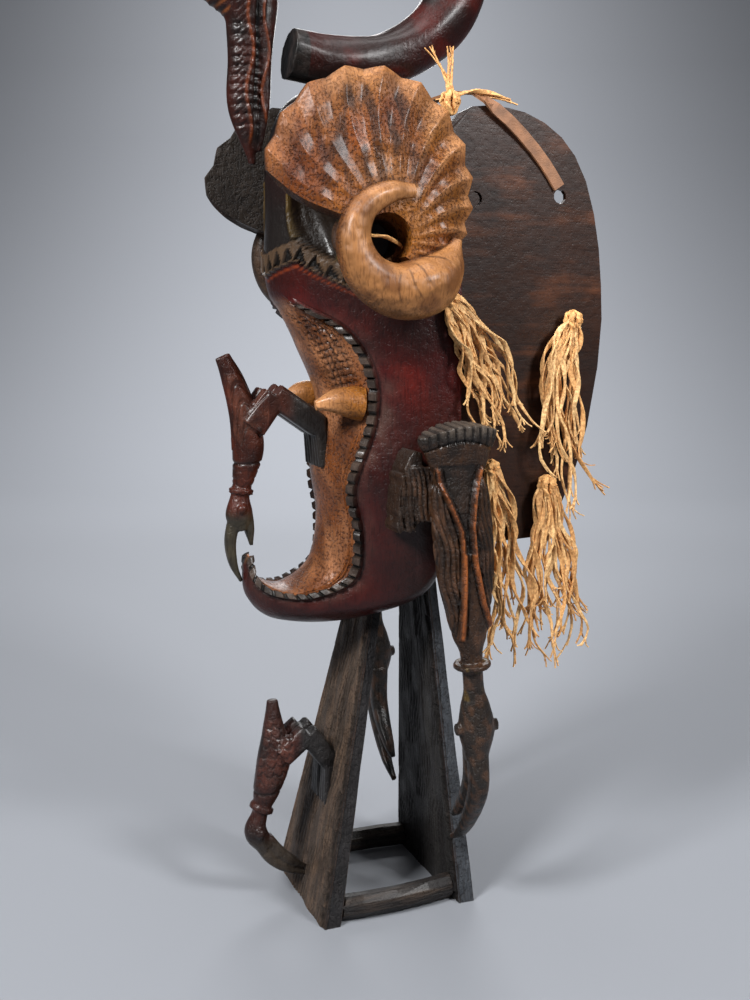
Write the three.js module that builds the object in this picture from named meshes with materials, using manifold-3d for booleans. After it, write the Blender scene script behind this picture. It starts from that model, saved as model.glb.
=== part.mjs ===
// A carved wooden hornbill mask that stands on its own two boards.
// Millimetres, +Z up. The face looks along -Y and +X is the mask's own left.
// The origin is on the floor, in the middle of the front board's underside.
// The sizes below are drawn from a middle line between the boards, and the
// whole mask is moved from there to its origin at the end.
import * as THREE from "three";
import Module from "manifold-3d";

const wasm = await Module();
wasm.setup();

// Driving dimensions

const GAP = 0.3; // clearance between pieces that touch
const SMALLEST = 0.3; // facets flatter than this are merged
const FINEST = 0.05; // the same after a piece is cut to its neighbour
const RAD = Math.PI / 180;

// the helmet
const HEAD_HALF = 92; // half width at the temples
const HEAD_BACK = 54; // the open back edge, measured along Y
const HOLLOW_HALF = HEAD_HALF - 12; // half width of the room for the wearer's head
const FACE_WALL = 16; // thickness of the face plate
const HOLLOW_BOTTOM = 346;
const HOLLOW_TOP = 684;
const BROW_ANGLE = 43 * RAD; // corner of the brow above the mouth
const RIM_RAISE = 3.5;
const FACE_SUNK = 3;
const RIM_TEETH = 15;
const TOOTH_HIGH = 4.5;
const BAND_Z = 561; // middle of the zigzag band under the eyes, on the middle plane
const BAND_PEAK = 12; // how far it rises towards the corner of the brow
const BAND_DROP = 24; // and how far it falls from there to the ear
const BAND_HALF = 10;
const BAND_TEETH = 9;

// the boards that the mask stands on
const BOARD_THICK = 18;
const BOARD_THICK_TOP = 10;
const FRONT_BOARD_HALF = 63;
const BACK_BOARD_HALF = 67;
const BOARD_HALF_TOP = 25;
const FRONT_BOARD_Y = -62; // front face at the floor
const FRONT_BOARD_Y_TOP = 4; // front face at its hidden top, inside the jaw
const BACK_BOARD_Y = 62; // inner face at the floor
const BACK_BOARD_Y_TOP = 45;
const FRONT_BOARD_TOP = 300;
const BACK_BOARD_TOP = 330;
const RUNG_HIGH = 21;
const RUNG_THICK = 17;
const RUNG_BOW = 5;

// the ears: a fluted fan and a ram's horn curl round a hole
const EAR_X = HEAD_HALF + 12; // plane of the fan's scalloped edge
const EAR_SWELL = 20; // how far the fan rises towards the curl
const EAR_THICK = 9;
const EAR_CENTRE = [-27, 580];
const EAR_HOLE = 17;
const FAN_CENTRE = [-34, 622];
const FAN_HIGH = 101;
const FAN_WIDE = 92;
const FAN_START = -44 * RAD;
const FAN_SWEEP = 195 * RAD;
const SCALLOPS = 14;
const SCALLOP_DEEP = 4;

// the crest: a horn that sweeps back, up and over to a hornbill's head
const CREST_CENTRE = [-13, 861];
const CREST_RADIUS = 113;
const CREST_THICK = 46;

// the thin side boards behind the helmet
const SIDE_BOARD_X = HEAD_HALF - 15; // middle of the sheet
const SIDE_BOARD_THICK = 5;
const SIDE_BOARD_HOLE = 13;
const STRAP_WIDE = 11;
const STRAP_THICK = 2.5;

// Colours

const RED_WOOD = new THREE.MeshStandardMaterial({ color: 0x4a1815, roughness: 0.45 });
const OCHRE_WOOD = new THREE.MeshStandardMaterial({ color: 0xa8713a, roughness: 0.45 });
const BROWN_WOOD = new THREE.MeshStandardMaterial({ color: 0x46332a, roughness: 0.6 });
const BOARD_WOOD = new THREE.MeshStandardMaterial({ color: 0x3b332c, roughness: 0.75 });
const SHEET_WOOD = new THREE.MeshStandardMaterial({ color: 0x3f302a, roughness: 0.5 });
const LEATHER = new THREE.MeshStandardMaterial({ color: 0x9a6b43, roughness: 0.7 });
const RAFFIA = new THREE.MeshStandardMaterial({ color: 0xc99a5c, roughness: 0.85 });

// Tools for solids

function geometryOf(corners, faces) {
  const geometry = new THREE.BufferGeometry();
  geometry.setAttribute("position", new THREE.Float32BufferAttribute(corners.flat(), 3));
  geometry.setIndex(faces.flat());
  return geometry;
}

// A closed skin over rings of equal count, with a fan over each end.
function loft(rings) {
  const count = rings[0].length;
  const corners = rings.flat();
  const faces = [];
  for (let i = 0; i + 1 < rings.length; i++) {
    for (let j = 0; j < count; j++) {
      const a = i * count + j;
      const b = i * count + ((j + 1) % count);
      faces.push([a, b, b + count], [a, b + count, a + count]);
    }
  }
  for (const [start, turn] of [[0, 1], [(rings.length - 1) * count, 0]]) {
    const ring = corners.slice(start, start + count);
    const middle = corners.length;
    corners.push([0, 1, 2].map((k) => ring.reduce((sum, p) => sum + p[k], 0) / count));
    for (let j = 0; j < count; j++) {
      const pair = [start + j, start + ((j + 1) % count)];
      faces.push(turn ? [middle, pair[1], pair[0]] : [middle, pair[0], pair[1]]);
    }
  }
  return geometryOf(corners, faces);
}

function signedVolume(geometry) {
  const at = geometry.getAttribute("position");
  const index = geometry.index.array;
  const [a, b, c] = [new THREE.Vector3(), new THREE.Vector3(), new THREE.Vector3()];
  let sum = 0;
  for (let i = 0; i < index.length; i += 3) {
    a.fromBufferAttribute(at, index[i]);
    b.fromBufferAttribute(at, index[i + 1]);
    c.fromBufferAttribute(at, index[i + 2]);
    sum += a.dot(b.cross(c));
  }
  return sum;
}

// Any closed three.js geometry as a solid, with equal corners joined.
function solid(geometry) {
  const from = geometry.getAttribute("position");
  const order = geometry.index ? geometry.index.array : [...Array(from.count).keys()];
  const seen = new Map();
  const corners = [];
  const faces = [];
  const joined = Array.from(order, (k) => {
    const p = [from.getX(k), from.getY(k), from.getZ(k)].map((v) => Math.round(v * 1e4) / 1e4);
    const key = p.join();
    if (!seen.has(key)) {
      seen.set(key, seen.size);
      corners.push(p);
    }
    return seen.get(key);
  });
  for (let i = 0; i < joined.length; i += 3) {
    const [a, b, c] = joined.slice(i, i + 3);
    if (a !== b && b !== c && c !== a) faces.push([a, b, c]);
  }
  if (signedVolume(geometryOf(corners, faces)) < 0) faces.forEach((f) => f.reverse());
  return new wasm.Manifold(
    new wasm.Mesh({
      numProp: 3,
      vertProperties: new Float32Array(corners.flat()),
      triVerts: new Uint32Array(faces.flat()),
    }),
  );
}

function joinAll(solids) {
  return solids.reduce((sum, next) => sum.add(next));
}

// A trimmed piece without the slivers that a cut leaves beside it.
function mainBody(body) {
  return body.decompose().reduce((best, next) => (next.volume() > best.volume() ? next : best));
}

// A piece cut to its neighbour's room, with its smallest facets merged first.
function trimmed(body, neighbour) {
  return mainBody(mainBody(body.subtract(neighbour)).simplify(SMALLEST).subtract(neighbour)).simplify(FINEST);
}

function meshOf(name, body, material) {
  const made = mainBody(body).getMesh();
  const geometry = new THREE.BufferGeometry();
  geometry.setAttribute("position", new THREE.Float32BufferAttribute(made.vertProperties, 3));
  geometry.setIndex(Array.from(made.triVerts));
  geometry.computeVertexNormals();
  const mesh = new THREE.Mesh(geometry, material);
  mesh.name = name;
  return mesh;
}

function mirrored(body) {
  return body.mirror([1, 0, 0]);
}

// What a neighbour is cut by so that it keeps its clearance from this body all round.
function room(body) {
  const step = (k, sign) => [0, 1, 2].map((j) => (j === k ? sign * GAP : 0));
  const moves = [0, 1, 2].flatMap((k) => [-1, 1].map((sign) => step(k, sign)));
  return joinAll([body, ...moves.map((move) => body.translate(move))]);
}

// The value of a smooth line through a list of numbers, at t from 0 to 1.
function along(values, t) {
  if (typeof values === "number") return values;
  const last = values.length - 1;
  const at = Math.min(Math.max(t, 0), 1) * last;
  const i = Math.min(Math.floor(at), last - 1);
  const f = at - i;
  const [p0, p1, p2, p3] = [i - 1, i, i + 1, i + 2].map((k) => values[Math.min(Math.max(k, 0), last)]);
  const bend = 2 * p0 - 5 * p1 + 4 * p2 - p3;
  return 0.5 * (2 * p1 + (p2 - p0) * f + bend * f * f + (3 * p1 - p0 - 3 * p2 + p3) * f ** 3);
}

// A limb of oval section along a smooth line, flat across its ends.
// side is the direction of its half width; depth is measured across that.
function limb({ path, wide, deep, side = [1, 0, 0], rings = 8, around = 8 }) {
  const curve = new THREE.CatmullRomCurve3(path.map((p) => new THREE.Vector3(...p)), false, "centripetal");
  const across = new THREE.Vector3(...side).normalize();
  const made = [];
  for (let i = 0; i <= rings; i++) {
    const t = i / rings;
    const centre = curve.getPoint(t);
    const ahead = curve.getTangent(t);
    const up = new THREE.Vector3().crossVectors(across, ahead).normalize();
    const flat = new THREE.Vector3().crossVectors(ahead, up).normalize();
    const ring = [];
    for (let j = 0; j < around; j++) {
      const turn = ((j + 0.5) / around) * 2 * Math.PI;
      const point = centre.clone();
      point.addScaledVector(flat, Math.cos(turn) * along(wide, t));
      point.addScaledVector(up, Math.sin(turn) * along(deep, t));
      ring.push(point.toArray());
    }
    made.push(ring);
  }
  return solid(loft(made));
}

// A plate with a drawn outline in the Y-Z plane, from x0 to x1.
function plate(outline, x0, x1) {
  const shape = new THREE.Shape(outline.map(([y, z]) => new THREE.Vector2(y, z)));
  const geometry = new THREE.ExtrudeGeometry(shape, { depth: x1 - x0, bevelEnabled: false });
  const turn = new THREE.Matrix4().set(0, 0, 1, x0, 1, 0, 0, 0, 0, 1, 0, 0, 0, 0, 0, 1);
  return solid(geometry.applyMatrix4(turn));
}

function box(low, high) {
  const size = high.map((v, k) => v - low[k]);
  const geometry = new THREE.BoxGeometry(...size);
  geometry.translate(...low.map((v, k) => v + size[k] / 2));
  return solid(geometry);
}

function rod(from, to, radius, sides = 16) {
  const a = new THREE.Vector3(...from);
  const b = new THREE.Vector3(...to);
  const geometry = new THREE.CylinderGeometry(radius, radius, a.distanceTo(b), sides);
  const turn = new THREE.Quaternion().setFromUnitVectors(
    new THREE.Vector3(0, 1, 0),
    b.clone().sub(a).normalize(),
  );
  geometry.applyQuaternion(turn);
  geometry.translate(...a.add(b).multiplyScalar(0.5).toArray());
  return solid(geometry);
}

// The helmet

// Stations from the crown down the face and out along the jaw to the chin.
// front and back are points of the middle plane (Y, Z); half is the half width
// and fullest is how far back between them the section is widest.
const STATIONS = [
  { front: [-38, 728], back: [34, 726], half: HEAD_HALF - 54, fullest: 0.5 },
  { front: [-74, 706], back: [50, 706], half: HEAD_HALF - 20, fullest: 0.75 },
  { front: [-90, 664], back: [HEAD_BACK, 668], half: HEAD_HALF - 4, fullest: 0.95 },
  { front: [-91, 610], back: [HEAD_BACK, 612], half: HEAD_HALF, fullest: 1 },
  { front: [-90, 545], back: [HEAD_BACK, 550], half: HEAD_HALF, fullest: 1 },
  { front: [-66, 492], back: [HEAD_BACK, 490], half: HEAD_HALF, fullest: 1 },
  { front: [-45, 440], back: [HEAD_BACK, 430], half: HEAD_HALF - 1, fullest: 1 },
  { front: [-51, 385], back: [HEAD_BACK, 370], half: HEAD_HALF - 2, fullest: 0.98 },
  { front: [-45, 338], back: [HEAD_BACK, 318], half: HEAD_HALF - 8, fullest: 0.9 },
  { front: [-53, 300], back: [44, 268], half: HEAD_HALF - 26, fullest: 0.75 },
  { front: [-76, 284], back: [-20, 246], half: HEAD_HALF - 48, fullest: 0.55 },
  { front: [-95, 288], back: [-84, 250], half: 27, fullest: 0.5 },
  { front: [-104, 297], back: [-110, 271], half: 15, fullest: 0.5 },
  { front: [-107, 309], back: [-114, 299], half: 7, fullest: 0.5 },
];
const LIP = 4.15; // station number of the upper lip
const CHIN = STATIONS.length - 1.3;

function stationAt(s) {
  const t = s / (STATIONS.length - 1);
  const line = (key, k) => along(STATIONS.map((station) => station[key][k]), t);
  const value = (key) => along(STATIONS.map((station) => station[key]), t);
  const front = [line("front", 0), line("front", 1)];
  const back = [line("back", 0), line("back", 1)];
  const full = Math.min(value("fullest"), 1);
  const widest = front.map((v, k) => v + (back[k] - v) * full);
  const reach = Math.hypot(front[0] - widest[0], front[1] - widest[1]);
  const ahead = front.map((v, k) => (v - widest[k]) / reach);
  return { front, back, widest, half: value("half"), ahead };
}

// How strongly the mouth's rim shows at a station: 0 on the brow, 1 round the mouth.
function rimShare(s) {
  return Math.min(Math.max((s - LIP) / 0.25, 0), 1);
}

// Where the notched rim of the mouth runs: station and degrees round the section.
const RIM = [
  [LIP, 8], [4.45, 35], [5, 46], [5.5, 48], [6.5, 42], [7.4, 34],
  [8.4, 42], [9.6, 53], [10.6, 62], [12, 70], [13, 74],
];

function rimAngle(s) {
  if (s < LIP) return BROW_ANGLE;
  const i = Math.max(RIM.findIndex(([station]) => station >= s), 1);
  const [[s0, a0], [s1, a1]] = [RIM[i - 1], RIM[i]];
  return (a0 + ((a1 - a0) * (s - s0)) / (s1 - s0)) * RAD;
}

// A point of the skin: angle 0 is the front middle line, 90 degrees the widest, 180 the back.
function skinPoint(s, angle, raise = 0) {
  const { front, back, widest, half, ahead } = stationAt(s);
  const from = angle <= Math.PI / 2 ? front : back;
  const share = Math.abs(Math.cos(angle));
  const y = widest[0] + (from[0] - widest[0]) * share + ahead[0] * raise;
  const z = widest[1] + (from[1] - widest[1]) * share + ahead[1] * raise;
  return [half * Math.sin(angle), y, z];
}

function headSkin(grow) {
  const rings = [];
  const steps = 20;
  for (let i = 0; i <= steps; i++) {
    const s = ((STATIONS.length - 1) * i) / steps;
    const rim = rimAngle(s);
    const mouth = rimShare(s);
    const half = [];
    for (const share of [0, 0.5, 0.88]) half.push([rim * share, -FACE_SUNK * mouth]);
    half.push([rim, RIM_RAISE * mouth], [rim + 5 * RAD, RIM_RAISE * mouth]);
    const start = rim + 10 * RAD;
    for (let k = 0; k <= 3; k++) half.push([start + ((Math.PI / 2 - start) * k) / 3, 0]);
    half.push([135 * RAD, 0], [Math.PI, 0]);
    const right = half.map(([angle, raise]) => skinPoint(s, angle, raise));
    const left = right.slice(1, -1).reverse().map(([x, y, z]) => [-x, y, z]);
    const ring = [...right, ...left];
    const { widest } = stationAt(s);
    rings.push(
      ring.map(([x, y, z]) => {
        const away = Math.hypot(x, y - widest[0], z - widest[1]) || 1;
        const out = 1 + grow / away;
        return [x * out, widest[0] + (y - widest[0]) * out, widest[1] + (z - widest[1]) * out];
      }),
    );
  }
  return solid(loft(rings));
}

// The room for the wearer's head, open at the back.
function hollow() {
  const rings = [];
  for (let i = 0; i <= 6; i++) {
    const z = HOLLOW_BOTTOM + ((HOLLOW_TOP - HOLLOW_BOTTOM) * i) / 6;
    const s = nearestStation(z);
    const front = stationAt(s).front[0] + FACE_WALL;
    const close = Math.sin((Math.PI * (i + 0.6)) / 7.2) ** 0.25;
    const ring = [];
    for (let k = 0; k <= 10; k++) {
      const angle = (Math.PI * (k - 5)) / 10;
      const deep = (HEAD_BACK - front) * Math.cos(angle) ** 0.85 * close;
      ring.push([HOLLOW_HALF * Math.sin(angle), HEAD_BACK - deep, z]);
    }
    ring.push([HOLLOW_HALF, HEAD_BACK + 30, z], [-HOLLOW_HALF, HEAD_BACK + 30, z]);
    rings.push(ring);
  }
  return solid(loft(rings));
}

function nearestStation(z) {
  let best = 0;
  for (let s = 0; s < 9; s += 0.1) {
    if (Math.abs(stationAt(s).front[1] - z) < Math.abs(stationAt(best).front[1] - z)) best = s;
  }
  return best;
}

// A row of teeth on the skin from one end of a line to the other.
function toothRow(pointAt, teeth, base, high, halfWide) {
  const rings = [];
  for (let i = 0; i <= 2 * teeth; i++) {
    const t = i / (2 * teeth);
    const { s, angle } = pointAt(t);
    const tall = i % 2 ? high : base;
    const tilt = halfWide / stationAt(s).half;
    rings.push([
      skinPoint(s, angle - tilt, -2),
      skinPoint(s, angle - tilt, tall),
      skinPoint(s, angle + tilt, tall),
      skinPoint(s, angle + tilt, -2),
    ]);
  }
  return solid(loft(rings));
}

function rimTeeth() {
  const line = (t) => {
    const s = LIP + 0.3 + (CHIN - LIP - 1.3) * t;
    return { s, angle: rimAngle(s) + 3 * RAD };
  };
  return toothRow(line, RIM_TEETH, RIM_RAISE - 1.5, RIM_RAISE + TOOTH_HIGH, 3.2);
}

// Middle of the band at an angle: it peaks at the corner of the brow and falls to the ear.
function bandHeight(angle) {
  const away = Math.abs(angle) / RAD;
  const rise = Math.min(away / 26, 1);
  return BAND_Z + BAND_PEAK * rise - BAND_DROP * Math.max((away - 26) / 24, 0);
}

// The band of carved triangles under the eyes, from one ear round to the other.
function zigzagBand() {
  const rings = [];
  for (let i = 0; i <= 2 * BAND_TEETH; i++) {
    const angle = (52 * RAD * (i - BAND_TEETH)) / BAND_TEETH;
    const middle = bandHeight(angle);
    const [x, y] = skinPoint(nearestStation(middle), Math.abs(angle));
    const out = (rise, z) => {
      const scale = 1 + rise / Math.hypot(x, y);
      return [x * Math.sign(angle || 1) * scale, y * scale, z];
    };
    const top = middle + (i % 2 ? BAND_HALF : BAND_HALF - 5);
    const low = middle - BAND_HALF;
    rings.push([out(-6, low), out(4, low), out(3.2, top), out(-6, top)]);
  }
  return solid(loft(rings));
}

// An almond eye socket that slants down and back across the corner of the brow.
function eyeSocket() {
  const rings = [];
  const [upper, lower] = [[HEAD_HALF - 53, -81, 633], [HEAD_HALF - 28, -54, 567]];
  for (let i = 0; i <= 8; i++) {
    const t = i / 8;
    const open = Math.sin(Math.PI * (0.04 + 0.92 * t));
    const middle = upper.map((v, k) => v + (lower[k] - v) * t);
    const ring = [];
    for (let j = 0; j < 8; j++) {
      const turn = (j / 8) * 2 * Math.PI;
      const [across, deep] = [Math.cos(turn) * 17 * open, Math.sin(turn) * 14 * open];
      ring.push([
        middle[0] + 0.6 * across + 0.74 * deep,
        middle[1] + 0.65 * across - 0.68 * deep,
        middle[2] + 0.47 * across,
      ]);
    }
    rings.push(ring);
  }
  return solid(loft(rings));
}

// The blunt wooden tusk at each side of the mouth.
function tusk() {
  const x = HEAD_HALF - 40;
  const path = [[x, -22, 442], [x - 2, -45, 444], [x - 4, -63, 441]];
  return limb({ path, wide: [14, 11, 3], deep: [15, 11, 3], rings: 4, around: 10 });
}

// The helmet before it is hollowed.
function headBlock() {
  const right = [rimTeeth(), tusk()];
  const whole = joinAll([headSkin(0), ...right, ...right.map(mirrored), zigzagBand()]);
  return whole.subtract(joinAll([eyeSocket(), mirrored(eyeSocket())]));
}

// The ears

// Distance of the scalloped edge from the curl's centre, in the direction of an angle.
function fanReach(angle) {
  const away = [EAR_CENTRE[0] - FAN_CENTRE[0], EAR_CENTRE[1] - FAN_CENTRE[1]];
  const [c, s] = [Math.cos(angle), Math.sin(angle)];
  const a = (c / FAN_WIDE) ** 2 + (s / FAN_HIGH) ** 2;
  const b = 2 * ((away[0] * c) / FAN_WIDE ** 2 + (away[1] * s) / FAN_HIGH ** 2);
  const k = (away[0] / FAN_WIDE) ** 2 + (away[1] / FAN_HIGH) ** 2 - 1;
  return (-b + Math.sqrt(b * b - 4 * a * k)) / (2 * a);
}

function fan() {
  const columns = 2 * SCALLOPS;
  const shares = [0, 0.5, 1];
  const rings = [];
  for (let i = 0; i <= columns; i++) {
    const angle = FAN_START + (FAN_SWEEP * i) / columns;
    const wave = i % 2;
    const reach = fanReach(angle) - SCALLOP_DEEP * (1 - wave);
    const at = (share, x) => {
      const r = EAR_HOLE + 4 + (reach - EAR_HOLE - 4) * share;
      return [x, EAR_CENTRE[0] + r * Math.cos(angle), EAR_CENTRE[1] + r * Math.sin(angle)];
    };
    const top = shares.map((share) => {
      const swell = EAR_SWELL * Math.cos((share * Math.PI) / 2) ** 0.8;
      return at(share, EAR_X + swell + 3.2 * (wave - 0.6) * Math.min(share * 2, 1));
    });
    const under = [1, 0].map((share) => at(share, EAR_X - EAR_THICK * (1.2 - 0.5 * share)));
    rings.push([...top, ...under]);
  }
  return solid(loft(rings));
}

function curl() {
  const middle = [
    [-4, 619], [-27, 617], [-49, 603], [-57, 578], [-46, 552],
    [-20, 538], [8, 543], [28, 559], [40, 580],
  ];
  const out = (i) => EAR_X + 15 + 5 * Math.sin((Math.PI * i) / 8) - (i > 6 ? 4 * (i - 6) : 0);
  const path = middle.map(([y, z], i) => [out(i), y, z]);
  const thick = [7, 10, 12, 14, 18, 23, 24, 16, 5];
  return limb({ path, wide: thick, deep: thick, rings: 11, around: 8 });
}

function earBody(head) {
  const root = rod([HEAD_HALF - 22, -22, 585], [EAR_X, -22, 585], 30, 14);
  const hole = rod([HEAD_HALF - 32, ...EAR_CENTRE], [EAR_X + 60, ...EAR_CENTRE], EAR_HOLE, 14);
  return trimmed(joinAll([fan(), curl(), root]).subtract(hole), head);
}

// The crest

function onCrest(angle, radius = CREST_RADIUS) {
  const [y, z] = CREST_CENTRE;
  return [0, y + radius * Math.cos(angle * RAD), z + radius * Math.sin(angle * RAD)];
}

function crestBody(head) {
  const sweep = [];
  for (let angle = -90; angle <= 165; angle += 15) sweep.push(onCrest(angle));
  const path = [[0, -72, 751], [0, -42, 747], ...sweep, [0, -121, 850]];
  const half = CREST_THICK / 2;
  const wide = [half, half + 3, half + 5, half, half - 4, half - 6];
  const deep = [half, half + 2, half + 6, half, half - 2, half];
  const horn = limb({ path, wide, deep, rings: 16, around: 8 });
  const skull = limb({
    path: [[0, -124, 880], [0, -122, 845], [0, -114, 805], [0, -108, 775]],
    wide: [14, 24, 23, 17],
    deep: [14, 26, 25, 20],
    rings: 4,
    around: 8,
  });
  const upper = limb({
    path: [[0, -110, 800], [0, -112, 745], [0, -113, 700], [0, -105, 650]],
    wide: [17, 15, 12, 3],
    deep: [20, 15, 14, 3],
    rings: 4,
    around: 6,
  });
  const lower = limb({
    path: [[0, -96, 795], [0, -95, 745], [0, -95, 700], [0, -100, 662]],
    wide: [15, 12, 9, 3],
    deep: [14, 7, 5, 3],
    rings: 3,
    around: 6,
  });
  const casque = limb({
    path: [[0, -128, 852], [0, -143, 832], [0, -141, 806], [0, -126, 784]],
    wide: [14, 15, 14, 9],
    deep: [12, 15, 15, 7],
    rings: 4,
    around: 6,
  });
  return trimmed(joinAll([horn, skull, upper, lower, casque]), head);
}

// The hornbills

// A hornbill drawn in its own middle plane: forward points (towards what it holds) and up.
// place turns [sideways, forward, up] into the part's X, Y and Z.
function hornbill({ back, wide, deep, mandibles, beakThick, place, rings = 8, eyes, neckRings }) {
  const put = ([side, forward, up]) => place(side, forward, up);
  const origin = new THREE.Vector3(...put([0, 0, 0]));
  const side = new THREE.Vector3(...put([1, 0, 0])).sub(origin).toArray();
  const line = (points) => points.map(([forward, up]) => put([0, forward, up]));
  const pieces = [limb({ path: line(back), wide, deep, side, rings, around: 6 })];
  for (const points of mandibles) {
    const thick = [beakThick, beakThick * 0.8, beakThick * 0.3];
    const deep = thick.map((v) => v * 0.8);
    pieces.push(limb({ path: line(points), wide: thick, deep, side, rings: 4, around: 4 }));
  }
  for (const sign of [-1, 1]) {
    const from = put([sign * eyes.out * 0.4, ...eyes.at]);
    const to = put([sign * eyes.out, ...eyes.at]);
    pieces.push(rod(from, to, eyes.radius, 6));
  }
  for (const [forward, up, forward2, up2] of neckRings) {
    pieces.push(rod(put([0, forward, up]), put([0, forward2, up2]), eyes.out * 0.82, 8));
  }
  return joinAll(pieces);
}

// Two legs with a foot each, from the bird's belly to the wood it clings to.
function legs({ hip, knee, ankle, toe, apart, thick, place }) {
  const made = [];
  for (const sign of [-1, 1]) {
    const x = (sign * apart) / 2;
    const at = ([forward, up]) => place(x, forward, up);
    made.push(limb({ path: [at(hip), at(knee)], wide: thick, deep: thick * 1.3, rings: 1, around: 4 }));
    made.push(limb({ path: [at(knee), at(ankle)], wide: thick, deep: thick * 1.2, rings: 1, around: 4 }));
    for (const spread of [-1, 0, 1]) {
      const offset = spread * thick * 0.85;
      const from = place(x + offset * 0.7, ankle[0], ankle[1] + thick * 0.6);
      const to = place(x + offset, toe[0], toe[1]);
      made.push(limb({ path: [from, to], wide: thick * 0.36, deep: thick * 0.62, rings: 1, around: 4 }));
    }
  }
  return joinAll(made);
}

const inMiddle = (side, forward, up) => [side, forward, up];

function mouthHornbill() {
  const bird = hornbill({
    back: [
      [-132, 482], [-123, 462], [-113, 430], [-109, 402],
      [-113, 376], [-116, 362], [-117, 344], [-116, 330],
    ],
    wide: [4, 9, 14, 15, 11, 8, 11, 7],
    deep: [6, 9, 12, 14, 10, 8, 12, 8],
    mandibles: [
      [[-121, 342], [-125, 320], [-122, 300], [-115, 285]],
      [[-111, 346], [-108, 330], [-106, 316]],
    ],
    beakThick: 6.5,
    eyes: { at: [-117, 350], out: 13, radius: 4 },
    neckRings: [[-115, 366, -115.5, 362]],
    place: inMiddle,
  });
  const feet = legs({
    hip: [-108, 420],
    knee: [-88, 448],
    ankle: [-48, 420],
    toe: [-44, 384],
    apart: 21,
    thick: 9,
    place: inMiddle,
  });
  return joinAll([bird, feet]);
}

function boardHornbill() {
  const bird = hornbill({
    back: [[-87, 178], [-86, 156], [-85, 128], [-92, 100], [-98, 80], [-102, 64], [-93, 50]],
    wide: [4, 9, 14, 13, 8, 11, 8],
    deep: [5, 9, 15, 12, 7, 10, 8],
    mandibles: [
      [[-98, 52], [-88, 38], [-72, 26], [-56, 19]],
      [[-92, 56], [-80, 42], [-66, 31], [-56, 25]],
    ],
    beakThick: 6.5,
    eyes: { at: [-101, 66], out: 13, radius: 4 },
    neckRings: [[-96, 86, -97.5, 82]],
    place: inMiddle,
  });
  const feet = legs({
    hip: [-82, 130],
    knee: [-58, 148],
    ankle: [-38, 122],
    toe: [-40, 84],
    apart: 21,
    thick: 7.5,
    place: inMiddle,
  });
  return joinAll([bird, feet]);
}

// The side hornbills hang head down with their backs outwards and lean with their tails forward.
const SIDE_BIRD_X = HEAD_HALF + 20;
const SIDE_BIRD_Y = 58;
const SIDE_BIRD_TAIL_Y = 38;
const SIDE_BIRD_TAIL_Z = 428;
const SIDE_BIRD_HEAD_Z = 172;

function besideHead(side, inward, up) {
  const share = (up - SIDE_BIRD_HEAD_Z) / (SIDE_BIRD_TAIL_Z - SIDE_BIRD_HEAD_Z);
  const y = SIDE_BIRD_Y + (SIDE_BIRD_TAIL_Y - SIDE_BIRD_Y) * Math.max(share, 0);
  return [SIDE_BIRD_X - inward, y + side, up];
}

function sideHornbill(head, board) {
  const bird = hornbill({
    back: [
      [2, 396], [0, 370], [0, 335], [0, 300], [0, 266], [0, 248],
      [0, 236], [0, 205], [0, 190], [0, 170], [0, 146],
    ],
    wide: [17, 26, 28, 26, 20, 15, 10, 9, 13, 16, 10],
    deep: [9, 11, 12, 12, 11, 10, 9, 8, 11, 13, 10],
    mandibles: [
      [[-1, 158], [-4, 124], [9, 97], [29, 72], [47, 60]],
      [[6, 158], [7, 126], [19, 105], [35, 88], [44, 81]],
    ],
    beakThick: 9,
    eyes: { at: [0, 172], out: 19, radius: 5 },
    neckRings: [[0, 227, 0, 223]],
    rings: 14,
    place: besideHead,
  });
  const tail = limb({
    path: [besideHead(0, 0, 366), besideHead(0, -2, 398), besideHead(0, -4, SIDE_BIRD_TAIL_Z)],
    wide: [14, 28, 35],
    deep: [8, 11, 14],
    side: [0, 1, 0],
    rings: 3,
    around: 10,
  });
  const shoulder = [[-12, 338], [6, 338], [12, 404], [4, 410], [-8, 384]];
  const bracket = plate(shoulder, HEAD_HALF - 14, SIDE_BIRD_X - 6);
  const leg = box([SIDE_BIRD_X - 12, -2, 346], [SIDE_BIRD_X - 4, 36, 392]);
  const whole = joinAll([bird, tail, bracket, leg]);
  return trimmed(whole, joinAll([head, board]));
}

// The boards and rungs

function board({ half, y, yTop, top, face, grow = 0 }) {
  const lean = (yTop - y) / top;
  const ring = (z) => {
    const share = z / top;
    const wide = half + (BOARD_HALF_TOP - half) * share + grow;
    const thick = BOARD_THICK + (BOARD_THICK_TOP - BOARD_THICK) * share;
    const front = y + lean * z;
    const back = front + thick * face;
    const [low, high] = [Math.min(front, back) - grow, Math.max(front, back) + grow];
    return [[-wide, low, z], [wide, low, z], [wide, high, z], [-wide, high, z]];
  };
  return solid(loft([ring(-grow), ring(top)]));
}

function frontBoard(grow = 0) {
  const [half, y, yTop, top] = [FRONT_BOARD_HALF, FRONT_BOARD_Y, FRONT_BOARD_Y_TOP, FRONT_BOARD_TOP];
  return board({ half, y, yTop, top, face: 1, grow });
}

function backBoard(grow = 0) {
  const [half, y, yTop, top] = [BACK_BOARD_HALF, BACK_BOARD_Y, BACK_BOARD_Y_TOP, BACK_BOARD_TOP];
  return board({ half, y, yTop, top, face: 1, grow });
}

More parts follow.
